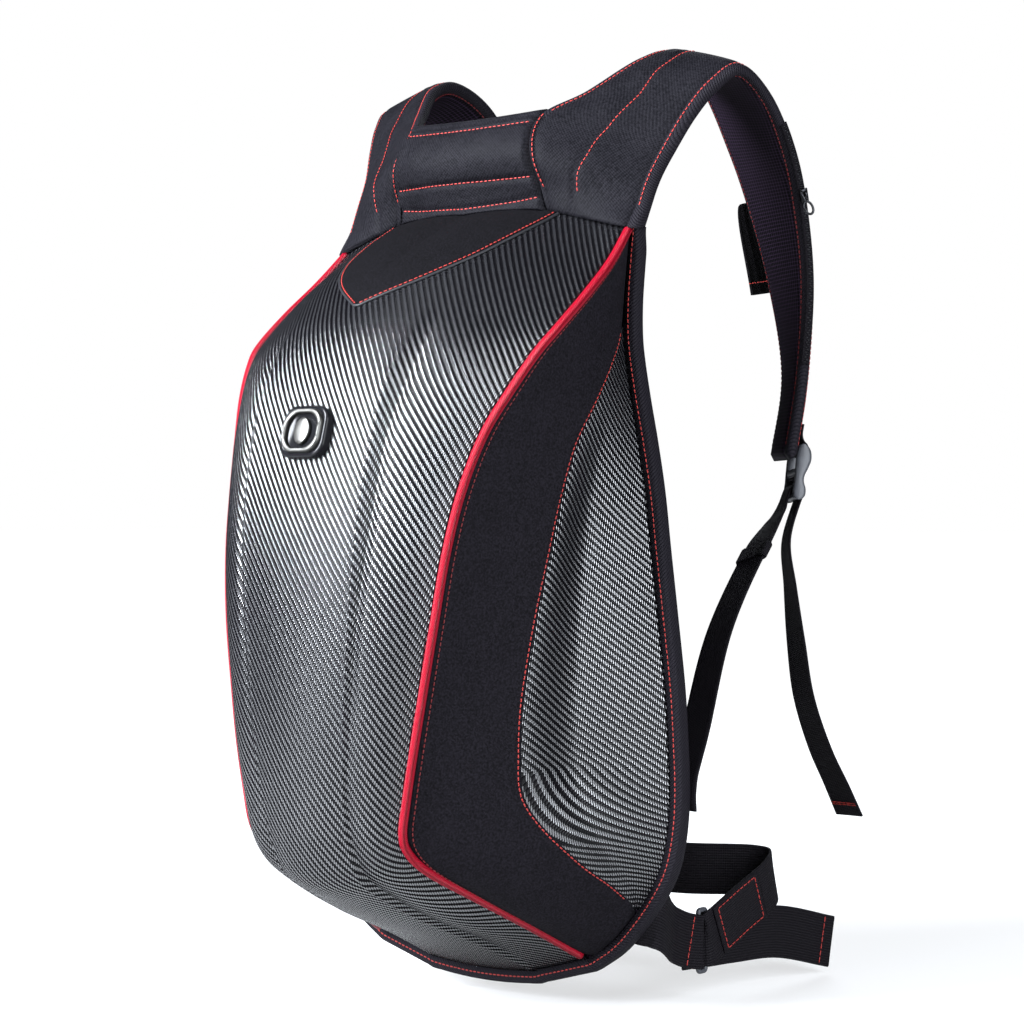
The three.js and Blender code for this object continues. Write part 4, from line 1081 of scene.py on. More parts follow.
def strap_at(t):
    """The strap's inner and outer edges and its padding's way, at each share t down it."""
    t = np.atleast_1d(np.asarray(t, float))
    row = rows_at(STRAP_ROWS, t)
    neck = shell_points(0.0, DIP_SHARE)[0]
    corner = lines_at(0.0)["pipe"][0]
    inner = strap_place(row[:, 0], row[:, 1], row[:, 2], neck[2])
    outer = strap_place(row[:, 3], row[:, 4], row[:, 5], neck[2])
    root = STRAP_ROWS[0]
    fall = (corner[2] - neck[2]) / (corner[0] - neck[0]) * TAPE_WIDTH
    inner_root = neck + [0, 0, SEAM_GAP]
    outer_root = corner + [TAPE_WIDTH, 0, fall + SEAM_GAP]
    hold = (1 - ramp(t, 0, ROOT_REACH))[:, None]
    inner = inner + (inner_root - strap_place(root[0], root[1], root[2], neck[2])) * hold
    outer = outer + (outer_root - strap_place(root[3], root[4], root[5], neck[2])) * hold
    return inner, outer, unit(row[:, 6:9])


def wrinkles(a, b, size=1.0):
    """Slow uneven folds over two lengths in metres, between about -1 and 1."""
    total = np.zeros(np.broadcast(a, b).shape)
    for turn, wave, part in ((0.4, 47, 0.5), (1.1, 71, 0.35), (2.0, 33, 0.4), (2.7, 119, 0.2)):
        total = total + part * np.sin((a * math.cos(turn) + b * math.sin(turn)) * wave * 2 * math.pi
                                      / 4 * size + turn * 5 + 1.3 * np.sin(a * 23 * size + wave))
    return total


def cloth_depth(t, p, width, length):
    """How deep the strap's outer cloth lies at distances p from its inner edge."""
    root = 1 - ramp(t, 0.15, 0.21)
    start = STRAP_TAPE - 1.6 * MM * root
    s = np.clip((p - start) / (width - start - STRAP_TAPE), 0, 1)
    share = p / width
    puff = STRAP_CROWN * 4 * share * (1 - share) + 0.9 * MM * np.minimum(1, 20 * s * (1 - s))
    near = (p - np.interp(t, PANEL_SEAM[:, 0], PANEL_SEAM[:, 1]) * width) / MM
    fade = 1 - ramp(t, 0.40, 0.47)
    dent = 1.3 * MM * np.exp(-(near / 2.2) ** 2) * fade
    welt = 0.8 * MM * np.exp(-((near + 2.2) / 1.0) ** 2) * fade
    crease = 0.8 * MM * wrinkles(length, p) * np.minimum(1, 18 * s * (1 - s))
    gather = (1.6 * MM * np.sin((length * 0.75 - p) / (5.2 * MM)) * bump_at(t, 0.27, 0.09)
              * np.exp(-p / (14 * MM)))
    return 0.5 * MM - puff + dent - welt + crease * (0.45 + 0.55 * root) + gather


def strap_profile(t, width, length):
    """One ring of the padded strap for each t: place across, depth and zone of each point.
    The zones are 0 outer cloth, 1 tape, 2 lining."""
    root = 1 - ramp(t, 0.15, 0.21)
    radius = 3.2 * MM - 2.2 * MM * root
    across, depth, zone = [], [], []

    def put(p, q, z):
        across.append(np.broadcast_to(p, t.shape))
        depth.append(np.broadcast_to(q, t.shape))
        zone.append(z)

    cells = 30
    tape = STRAP_TAPE - 2.0 * MM * root
    for a in np.linspace(math.pi, math.pi / 2, 5):
        put(radius * (1 + math.cos(a)), radius * (1 - math.sin(a)), 1)
    put(tape - 0.3 * MM, 0 * t - 0.3 * MM * (1 - root), 1)
    put(tape, 0 * t + 0.3 * MM, 1)
    for s in np.linspace(0, 1, cells):
        p = tape + 0.4 * MM + (width - tape - STRAP_TAPE - 0.8 * MM) * s
        put(p, cloth_depth(t, p, width, length), 0)
    put(width - STRAP_TAPE, 0 * t + 0.3 * MM, 0)
    put(width - STRAP_TAPE + 0.3 * MM, 0 * t - 0.3 * MM, 1)
    outer = 3.2 * MM
    for a in np.linspace(math.pi / 2, 0, 5):
        put(width - outer * (1 - math.cos(a)), outer * (1 - math.sin(a)), 1)
    for a in np.linspace(0, -math.pi / 2, 5):
        put(width - outer * (1 - math.cos(a)), STRAP_EDGE - outer * (1 + math.sin(a)), 1)
    put(width - STRAP_TAPE + 0.3 * MM, 0 * t + STRAP_EDGE + 0.3 * MM, 1)
    put(width - STRAP_TAPE, 0 * t + STRAP_EDGE - 0.3 * MM, 1)
    for s in np.linspace(1, 0, 18):
        p = STRAP_TAPE + 0.4 * MM + (width - 2 * STRAP_TAPE - 0.8 * MM) * s
        share = p / width
        puff = STRAP_CROWN * 4 * share * (1 - share) + 0.6 * MM * np.minimum(1, 20 * s * (1 - s))
        put(p, STRAP_EDGE - 0.5 * MM + puff, 2)
    put(0 * t + STRAP_TAPE, 0 * t + STRAP_EDGE - 0.3 * MM, 2)
    put(0 * t + STRAP_TAPE - 0.3 * MM, 0 * t + STRAP_EDGE + 0.3 * MM, 1)
    for a in np.linspace(-math.pi / 2, -math.pi, 5):
        put(radius * (1 + math.cos(a)), STRAP_EDGE - radius * (1 + math.sin(a)), 1)
    return np.stack(across, 1), np.stack(depth, 1), np.array(zone)


def strap_spot(t, place, depth):
    """Points of the strap at distances from its inner edge and depths below its outer face."""
    inner, outer, pad = strap_at(t)
    across = unit(outer - inner)
    return inner + across * np.asarray(place)[:, None] + pad * np.asarray(depth)[:, None]


def strap_width(t):
    inner, outer, _ = strap_at(t)
    return np.linalg.norm(outer - inner, axis=1)


class BACKPACK_OT_straps(bpy.types.Operator):
    """Padded shoulder straps: outer cloth, mesh lining, bound edges and seams."""

    bl_idname = "backpack.straps"
    bl_label = "Shoulder Straps"

    def execute(self, context):
        look = look_of(context)
        t = np.linspace(0, 1, STRAP_STEPS)
        inner, outer, pad = strap_at(t)
        length = lengths_along((inner + outer) / 2)
        width = np.linalg.norm(outer - inner, axis=1)
        across, depth, zone = strap_profile(t, width, length)
        left = np.clip((length[-1] - length) / (4 * MM), 0, 1)
        closing = np.sqrt(1 - (1 - left) ** 2)[:, None]
        depth = STRAP_EDGE / 2 + (depth - STRAP_EDGE / 2) * np.maximum(closing, 0.15)
        lip = (1 - ramp(t, 0, 0.05))[:, None] * (1 - np.clip(depth / STRAP_EDGE, 0, 1))
        side = unit(outer - inner)
        rings = (inner[:, None] + side[:, None] * across[..., None]
                 + pad[:, None] * depth[..., None])
        rings[..., 1] -= 4.5 * MM * lip
        rings[..., 2] -= 1.5 * MM * lip
        rings[..., 2] = np.where((t < 0.02)[:, None] & (depth > STRAP_EDGE / 2),
                                 np.maximum(rings[..., 2], inner[0, 2] - 40 * MM), rings[..., 2])
        for name, sign in SIDES:
            self.add_strap(look, name, rings * [sign, 1, 1], across, length, zone, t, sign)
        self.add_sewing(look)
        return {"FINISHED"}

    def add_strap(self, look, name, rings, across, length, zone, t, sign):
        rows, columns = rings.shape[:2]
        faces = grid_quads(rows, columns, wrap=True).tolist() + end_faces(rows, columns)
        kind = np.repeat(zone[None, :], rows - 1, axis=0)
        kind[(t[:-1] < 0.18)[:, None] & (np.arange(columns) < 7)[None, :]] = 0
        kind[(t[:-1] < 0.18)[:, None] & (np.arange(columns) > columns - 8)[None, :]] = 0
        finish = list(kind.ravel()) + [0, 1]
        flow = np.stack([np.repeat(length[:, None], columns, axis=1), across], -1).reshape(-1, 2)
        strap = make_piece(f"strap_pad_{name}", rings.reshape(-1, 3), turned(faces, sign),
                           [heavy_cloth(look), edge_tape(look), air_mesh()], flow, finish,
                           replaces=[f"shoulder_strap_{name}"], slot="yoke_fabric")

    def on_cloth(self, look, t, place):
        """Stitches on the outer cloth at distances from the strap's inner edge."""
        inner, outer, _ = strap_at(np.linspace(0, 1, STRAP_STEPS))
        far = lengths_along((inner + outer) / 2)
        length = np.interp(t, np.linspace(0, 1, len(far)), far)
        return self.row_on(look, t, place, cloth_depth(t, place, strap_width(t), length), 0.1 * MM)

    def row_on(self, look, t, place, depth, lift=0.0, way=-1):
        """Stitches on the strap at a distance from its inner edge, on its face or its lining."""
        line = strap_spot(t, place, depth)
        _, _, pad = strap_at(t)
        return stitch_row(line, pad * way, look, lift=lift)

    def add_sewing(self, look):
        tape = 0.75 * STRAP_TAPE
        long = np.linspace(0.03, 0.985, 300)
        width = strap_width(long)
        rows = [self.row_on(look, long, width - tape, 0 * long - 0.2 * MM)]
        upper = np.linspace(0.2, 0.985, 260)
        rows.append(self.row_on(look, upper, 0 * upper + tape, 0 * upper - 0.2 * MM))
        deep = STRAP_EDGE + 0.2 * MM
        under = [self.row_on(look, long, width - tape, 0 * long + deep, way=1),
                 self.row_on(look, upper, 0 * upper + tape, 0 * upper + deep, way=1)]
        # The lining stitches use the red thread darkened as painted shade.
        sew_both("lining", under, painted_shade_thread())
        seam = np.linspace(0.012, 0.45, 160)
        width = strap_width(seam)
        place = np.interp(seam, PANEL_SEAM[:, 0], PANEL_SEAM[:, 1]) * width
        rows.append(self.on_cloth(look, seam, place + 2.4 * MM))
        root = np.linspace(0.012, 0.19, 60)
        rows.append(self.row_on(look, root, 0 * root + 2.6 * MM, 0 * root - 0.5 * MM))
        sew_both("strap", rows, red_thread(look))


YOKE_PAD = 16 * MM
YOKE_CROWN = 5 * MM
YOKE_DIP = 2 * MM


def yoke_front(c, v):
    """Points of the yoke's front, c across it (-1 to 1) and v up it from the shell's top edge."""
    c, v = (x.ravel() for x in np.broadcast_arrays(c, v))
    seam, _, _ = strap_at(v * ROOT_REACH)
    x = c * (seam[:, 0] + 0.6 * MM)
    foot = shell_points(np.zeros_like(x), shell_share(np.zeros_like(x), np.abs(x)))
    middle = 1 - c * c
    upper = np.stack([x, seam[:, 1] - YOKE_CROWN * middle, seam[:, 2] - YOKE_DIP * v * v * middle], -1)
    lower = np.stack([x, foot[:, 1], foot[:, 2] + SEAM_GAP], -1)
    return mixed(lower, upper, np.clip(v / 0.25, 0, 1))


class BACKPACK_OT_yoke(bpy.types.Operator):
    """Padded neck yoke between the straps, with its rolled top edge and sewn channels."""

    bl_idname = "backpack.yoke"
    bl_label = "Neck Yoke"

    def execute(self, context):
        look = look_of(context)
        c = np.linspace(-1, 1, 81)
        v = np.linspace(0, 1, 56)
        cc, vv = np.meshgrid(c, v, indexing="ij")
        edge, rise = self.fullness(cc, vv)
        front = self.cloth(cc.ravel(), vv.ravel()).reshape(*cc.shape, 3)
        top = front[:, -1:]
        angle = np.linspace(0, math.pi, 10)[1:-1]
        roll = np.stack([np.zeros_like(angle), YOKE_PAD / 2 * (1 - np.cos(angle)),
                         4.5 * MM * np.sin(angle)], -1)
        rear = yoke_front(cc, vv).reshape(*cc.shape, 3)[:, ::-1]
        rear = rear + [0, 1.0 * YOKE_PAD, 0]
        rear[..., 1] += 2.0 * MM * np.sqrt(edge * rise) - 1.0 * MM
        rings = np.concatenate([front, top + roll[None], rear[:, ::4]], axis=1)
        rows, columns = rings.shape[:2]
        faces = grid_quads(rows, columns, wrap=True).tolist() + end_faces(rows, columns)
        kind = np.zeros((rows - 1, columns), int)
        kind[:, len(v) + 9:] = 2
        flow = flow_over(rings)[..., ::-1].reshape(-1, 2)
        piece = make_piece("yoke_pad", rings.reshape(-1, 3), turned(faces),
                           [heavy_cloth(look), edge_tape(look), air_mesh()], flow,
                           list(kind.ravel()) + [0, 0], replaces=["yoke"], slot="yoke_fabric")
        rows = []
        across = np.linspace(-0.95, 0.95, 160)
        for up in (self.channel_low(across), 0 * across + 0.29, 0 * across + 0.91):
            line = self.cloth(across, up)
            out = np.tile([0.0, -1.0, 0.1], (len(line), 1))
            rows.append(stitch_row(line, out, look, lift=0.15 * MM))
        make_stitches("yoke_stitches", rows, red_thread(look))
        return {"FINISHED"}

    def fullness(self, c, v):
        """How full the padding is, by its distance from the side seams and from its top and foot."""
        rise = np.minimum(v / 0.05, (1 - v) / 0.05)
        return np.clip((1 - np.abs(c)) / 0.05, 0, 1), np.clip(rise, 0, 1)

    def cloth(self, c, v):
        """Points of the padded front: its puffs, sewn channels, folds and the lip over the shell."""
        front = yoke_front(c, v)
        edge, rise = self.fullness(c, v)
        puff = 3.0 * MM * np.sqrt(edge) * np.sqrt(rise) - 0.6 * MM * (1 - edge)
        channels = (bump_at(v, self.channel_low(c), 0.035) + bump_at(v, 0.29, 0.04)
                    + 0.9 * bump_at(v, 0.91, 0.03))
        folds = 1.0 * MM * wrinkles(c * 0.06, v * 0.055, 1.6) * edge * rise
        lip = 1 - ramp(v, 0, 0.275)
        front[:, 1] -= puff - 1.7 * MM * channels * edge + folds + 4.5 * MM * lip
        front[:, 2] -= 1.8 * MM * lip
        return front

    def channel_low(self, c):
        return 0.17 - 0.05 * (1 - c * c)


def centripetal(points, samples=24):
    """A smooth line through points, spaced by the roots of their distances."""
    p = np.vstack([2 * points[0] - points[1], points, 2 * points[-1] - points[-2]])
    out = []
    for i in range(1, len(p) - 2):
        a, b, c, d = p[i - 1:i + 3]
        r0, r1, r2 = (max(math.sqrt(np.linalg.norm(q)), 1e-6) for q in (b - a, c - b, d - c))
        m1 = ((b - a) / r0 - (c - a) / (r0 + r1) + (c - b) / r1) * r1
        m2 = ((c - b) / r1 - (d - b) / (r1 + r2) + (d - c) / r2) * r1
        s = np.linspace(0, 1, samples, endpoint=False)[:, None]
        out.append((2 * s ** 3 - 3 * s ** 2 + 1) * b + (s ** 3 - 2 * s ** 2 + s) * m1
                   + (3 * s ** 2 - 2 * s ** 3) * c + (s ** 3 - s ** 2) * m2)
    return np.vstack([*out, p[-2:-1]])


def evenly(points, count):
    """A smooth line through points, as a number of evenly spaced ones."""
    line = centripetal(np.asarray(points, float))
    far = lengths_along(line)
    at = np.linspace(0, far[-1], count)
    return np.stack([np.interp(at, far, line[:, c]) for c in range(3)], -1)


def band_outline(width, thickness):
    """A flat band's cross-section with softly rounded edges and a slightly thinner middle."""
    half, deep = width / 2, thickness / 2
    top = [(half - 0.35 * deep, 0.75 * deep), (half - 1.4 * deep, deep), (half * 0.7, 0.9 * deep),
           (half * 0.3, 0.86 * deep), (-half * 0.3, 0.86 * deep), (-half * 0.7, 0.9 * deep),
           (-half + 1.4 * deep, deep), (-half + 0.35 * deep, 0.75 * deep), (-half, 0)]
    low = [(x, -y) for x, y in top[-2::-1]]
    return np.array(top + low + [(half, 0)])


def add_band(name, line, ways, width, thickness, finish, held, on, **links):
    """A flat band of webbing or elastic along a line, its width laid along the given ways."""
    outline = band_outline(width, thickness)
    rings = tube(line, ways, outline)
    points, faces, flow = tube_mesh(rings)
    flow[:, 1] = np.tile(outline[:, 0], len(rings))
    ring_way = np.cross(rings[0, 0] - rings[0, 6], rings[0, 12] - rings[0, 6])
    sign = -1 if np.dot(ring_way, line[1] - line[0]) > 0 else 1
    piece = make_piece(name, points, turned(faces, sign), [finish], flow, **links)


BUCKLE_LENGTH = 34 * MM
BUCKLE_WIDTH = 30 * MM
BUCKLE_THICKNESS = 5 * MM
BUCKLE_OVERLAP = 10 * MM
WEBBING_WIDTH = 20 * MM
WEBBING_THICKNESS = 1.6 * MM
TAIL_DROP = 199 * MM
# A buckle's side rail from its top: height, middle above the buckle's own and half thickness
RAIL_ROWS = np.array([[17.2, 0.0, 0.9], [16.2, 0.3, 2.7], [13, 1.0, 4.3], [8, 1.4, 4.8],
                      [3, 1.0, 4.1], [-2, 0.4, 3.1], [-6, 0.6, 3.0], [-10, 1.5, 3.9],
                      [-14, 1.9, 3.8], [-16.5, 1.7, 2.5], [-17.3, 1.6, 0.9]])
ADJUSTER_ROWS = ((0.20, 0.00, -0.35), (0.50, -0.10, -0.40), (0.85, 0.05, 0.20))
TAIL_ROWS = ((0.000, 0.000, 0.000), (0.000, -0.030, -0.121), (0.005, -0.015, -0.261),
             (0.010, 0.010, -0.432), (0.015, 0.045, -0.603), (0.020, 0.131, -0.774),
             (0.025, 0.221, -0.899), (0.025, 0.296, -1.000))
ANCHOR_SHARE = 0.655


def buckle_axes():
    """The right buckle's middle, and its ways across, up and out."""
    inner, outer, _ = strap_at(1.0)
    across = unit(outer - inner)[0]
    end = (inner + outer)[0] / 2
    above = strap_at(1 - 1.5 / 20)
    up = unit((above[0] + above[1])[0] / 2 - end)
    out = unit(np.cross(up, across))
    lift = STRAP_CROWN + 3 * SEAM_GAP + BUCKLE_THICKNESS / 2
    middle = end + out * lift + up * (BUCKLE_OVERLAP - BUCKLE_LENGTH / 2)
    return middle, np.cross(up, out), up, out


def buckle_spot(x, y, z):
    middle, across, up, out = buckle_axes()
    return middle + across * x + up * y + out * z


def squarish(values, power):
    """Cosines or sines pulled towards 1, for a round outline that is nearly square."""
    return np.sign(values) * np.abs(values) ** power


def bar(start, end, width, height, way, bend=None):
    """Rings of a rounded bar from start to end."""
    k = np.linspace(0, 1, 9)
    line = start + (end - start) * k[:, None]
    if bend is not None:
        line = line + bend * (4 * k * (1 - k))[:, None]
    angle = np.arange(12) * 2 * np.pi / 12
    shape = np.stack([squarish(np.cos(angle), 0.55) * width / 2,
                      squarish(np.sin(angle), 0.55) * height / 2], -1)
    return tube(line, np.tile(way, (len(line), 1)), shape)


def joined(parts):
    """Points and faces of several closed tubes as one mesh, with their flow."""
    points, faces, flow = [], [], []
    shift = 0
    for rings in parts:
        p, f, w = tube_mesh(rings)
        points.append(p)
        flow.append(w)
        faces.extend([[i + shift for i in face][::-1] for face in f])
        shift += len(p)
    return np.concatenate(points), faces, np.concatenate(flow)


class BACKPACK_OT_webbing(bpy.types.Operator):
    """Ladder-lock buckles, adjuster webbing with its keepers, and the hanging webbing tails."""

    bl_idname = "backpack.webbing"
    bl_label = "Buckles and Webbing"

    def execute(self, context):
        look = look_of(context)
        self.add_buckles(look)
        self.add_adjusters(look)
        self.add_tails(look)
        self.add_tabs(look)
        return {"FINISHED"}

    def add_buckles(self, look):
        middle, across, up, out = buckle_axes()
        half = BUCKLE_WIDTH / 2 - 2.2 * MM
        parts = []
        rows = rows_at(RAIL_ROWS * MM, np.linspace(0, 1, 40))
        angle = np.arange(16) * 2 * np.pi / 16
        wide = (squarish(np.cos(angle), 0.6) * 2.4 * MM)[None, :, None]
        deep = squarish(np.sin(angle), 0.6)
        high = (rows[:, 1:2] + rows[:, 2:] * deep)[..., None]
        for side in (-1, 1):
            base = middle + across * side * half
            parts.append(base + up * rows[:, :1, None] + out * high + across * wide)
        for y, z, tall, deep in ((15, 0.2, 4.2, 4.6), (0.5, -0.4, 4.0, 4.0), (-14.6, 1.0, 4.6, 5.2)):
            start = buckle_spot(-half, y * MM, z * MM)
            end = buckle_spot(half, y * MM, z * MM)
            parts.append(bar(start, end, tall * MM, deep * MM, up))
        points, faces, _ = joined(parts)
        finish = plastic()
        for name, sign in SIDES:
            make_piece(f"buckle_{name}", points * [sign, 1, 1], turned(faces, sign), [finish],
                       replaces=[f"ladder_lock_{name}"], slot="black_plastic")
        loop = [buckle_spot(0, 30 * MM, -3.2 * MM), buckle_spot(0, 22 * MM, -3.4 * MM),
                buckle_spot(0, 17.5 * MM, -3.6 * MM), buckle_spot(0, 13.5 * MM, -3.4 * MM),
                buckle_spot(0, 11.6 * MM, 0.2 * MM), buckle_spot(0, 13.5 * MM, 3.5 * MM),
                buckle_spot(0, 17.2 * MM, 3.0 * MM), buckle_spot(0, 19.5 * MM, 0.4 * MM),
                buckle_spot(0, 23 * MM, -1.2 * MM), buckle_spot(0, 30 * MM, -1.4 * MM)]
        ways = np.tile(across, (60, 1))
        self.add_pair(look, "buckle_loop", evenly(loop, 60), ways, 0.96, "folded", None)

    def add_pair(self, look, name, line, ways, wide, held, node):
        for side, sign in SIDES:
            links = {"slot": "black_webbing"}
            if node:
                links["replaces"] = [f"{node}_{side}"]
            add_band(f"{name}_{side}", line * [sign, 1, 1], ways * [sign, 1, 1],
                     WEBBING_WIDTH * wide, WEBBING_THICKNESS, webbing(look), held,
                     [f"buckle_{side}"], **links)

    def adjuster(self):
        bar_low = buckle_spot(0, -BUCKLE_LENGTH / 2, -BUCKLE_THICKNESS)
        top = buckle_spot(0, -BUCKLE_LENGTH / 2 - BUCKLE_THICKNESS, -BUCKLE_THICKNESS)
        foot = lines_at(ANCHOR_SHARE)["edge"][0]
        gap = SEAM_GAP + WEBBING_THICKNESS / 2
        points = [top]
        for along, aside, back in ADJUSTER_ROWS:
            points.append(bar_low + (foot - bar_low) * along
                          + np.array([aside, back, 0]) * WEBBING_WIDTH)
        points += [[foot[0], gap, foot[2] - 4.2 * MM], [foot[0], gap, foot[2] - 18.2 * MM]]
        return evenly(points, 90)

    def add_adjusters(self, look):
        line = self.adjuster()
        k = np.linspace(0, 1, len(line))[:, None]
        ways = np.array([0.9, -0.4, 0]) * (1 - k) + np.array([1.0, 0, 0]) * k
        across = -buckle_axes()[1]
        head = [buckle_spot(0, -7.6 * MM, 0.0), buckle_spot(0, -10.5 * MM, -2.6 * MM),
                buckle_spot(0, -15 * MM, -3.6 * MM), buckle_spot(0, -19 * MM, -4.4 * MM)]
        line = evenly(np.vstack([head, line[2::4], line[-1:]]), 110)
        turn = ramp(np.linspace(0, 1, 110), 0.05, 0.25)[:, None]
        ways = across * (1 - turn) + ways[np.linspace(0, 89, 110).astype(int)] * turn
        self.add_pair(look, "adjuster", line, ways, 1.0, "stretched", "adjuster_webbing")
        self.add_keepers(look)

    def add_keepers(self, look):
        line = self.adjuster()
        middle = int(3.5 / 16 * 89)
        along = unit(line[middle + 1] - line[middle - 1])
        way = np.array([0.81, -0.32, 0])
        side = unit(way - along * np.dot(way, along))
        face = np.cross(along, side)
        low = band_outline(WEBBING_WIDTH + 1.2 * MM, WEBBING_THICKNESS + 1.2 * MM)
        high = band_outline(WEBBING_WIDTH + 3.4 * MM, WEBBING_THICKNESS + 3.4 * MM)
        profile = [(low, -6.0), (high * 0.985, -6.0), (high, -5.4), (high, 5.4), (high * 0.985, 6.0),
                   (low, 6.0), (low, 0.0)]
        rings = np.stack([line[middle] + along * z * MM + side * s[:, :1] + face * s[:, 1:]
                          for s, z in profile], 1)
        points = rings.reshape(-1, 3)
        rows, count = rings.shape[:2]
        faces = []
        for i in range(rows):
            here, below = i * count, (i + 1) % rows * count
            for j in range(count):
                beside = (j + 1) % count
                faces.append([here + j, here + beside, below + beside, below + j])
        flow = np.stack([points @ along, points @ side], -1)
        for name, sign in SIDES:
            make_piece(f"keeper_{name}", points * [sign, 1, 1], turned(faces, sign),
                       [webbing(look)], flow, replaces=[f"webbing_keeper_{name}"], slot="black_webbing")

    def add_tails(self, look):
        top = buckle_spot(0, -BUCKLE_LENGTH / 2 - 5 * SEAM_GAP, BUCKLE_THICKNESS / 2
                          - WEBBING_THICKNESS)
        tail = np.array([top + np.array(row) * TAIL_DROP for row in TAIL_ROWS])
        head = [buckle_spot(0, -3.2 * MM, -1.0 * MM), buckle_spot(0, -3.6 * MM, 2.2 * MM),
                buckle_spot(0, -8 * MM, 4.0 * MM), buckle_spot(0, -14 * MM, 4.9 * MM),
                buckle_spot(0, -18.5 * MM, 4.0 * MM)]
        line = evenly(np.vstack([head, tail[1:]]), 110)
        k = np.linspace(0, 1, 110)[:, None]
        across = -buckle_axes()[1]
        hang = np.array([1.0, 0, 0]) + np.array([0, -0.75, 0]) * (1 - k)
        turn = ramp(k, 0.1, 0.5)
        ways = across * (1 - turn) + unit(hang) * turn
        self.add_pair(look, "tail", line, ways, 1.0, "hung", "webbing_tail")
        end = line[-1]
        along = unit(line[-1] - line[-3])
        rows = []
        for lift in (1, -1):
            for back in (9.5, 11.0):
                side = unit(ways[-1] - along * np.dot(ways[-1], along))
                face = np.cross(along, side) * lift
                middle = end - along * back * MM + face * WEBBING_THICKNESS / 2
                seam = middle + side * np.linspace(-0.45, 0.45, 20)[:, None] * WEBBING_WIDTH
                rows.append(stitch_row(seam, np.tile(face, (20, 1)), look, length=3.4 * MM,
                                       pitch=3.7 * MM))
        sew_both("tail", rows, red_thread(look))

    def add_tabs(self, look):
        """Tabs for a chest strap, sewn to the straps' inner edges."""
        k = np.linspace(0, 1, 40)
        t = (7.9 + 1.1 * k) / STRAP_LAST
        inner, outer, pad = strap_at(t)
        across = unit(outer - inner)
        seat = inner + across * 1.0 * MM + pad * STRAP_EDGE / 2
        reach = 29 * MM * (0.40 + 0.60 * np.sqrt(k))[:, None]
        free = inner - across * reach + pad * STRAP_EDGE / 2
        free[:, 1] -= (reach[:, 0] * 0.25 * k)
        line = (seat + free) / 2
        width = np.linalg.norm(seat - free, axis=1)
        outline = band_outline(1.0, 1.0)
        along = unit(np.gradient(line, axis=0))
        side = unit(seat - free)
        face = unit(np.cross(along, side))
        rings = (line[:, None] + side[:, None] * outline[None, :, :1] * width[:, None, None]
                 + face[:, None] * outline[None, :, 1:] * 2.0 * MM)
        points, faces, flow = tube_mesh(rings)
        flow[:, 1] = (outline[None, :, 0] * width[:, None]).ravel()
        for name, sign in SIDES:
            make_piece(f"tab_{name}", points * [sign, 1, 1], turned(faces, -sign),
                       [webbing(look)], flow, replaces=[f"chest_tab_{name}"], slot="black_webbing")
        rows = []
        for lift in (1, -1):
            place = seat[-6] + (free[-6] - seat[-6]) * np.linspace(0.1, 0.94, 20)[:, None]
            rows.append(stitch_row(place + face[-6] * lift * 1.0 * MM,
                                   np.tile(face[-6] * lift, (20, 1)), look))
        sew_both("tab", rows, red_thread(look))


ZIP_PULL_SHARE = 14.45 / 20
ZIP_STEPS = 60


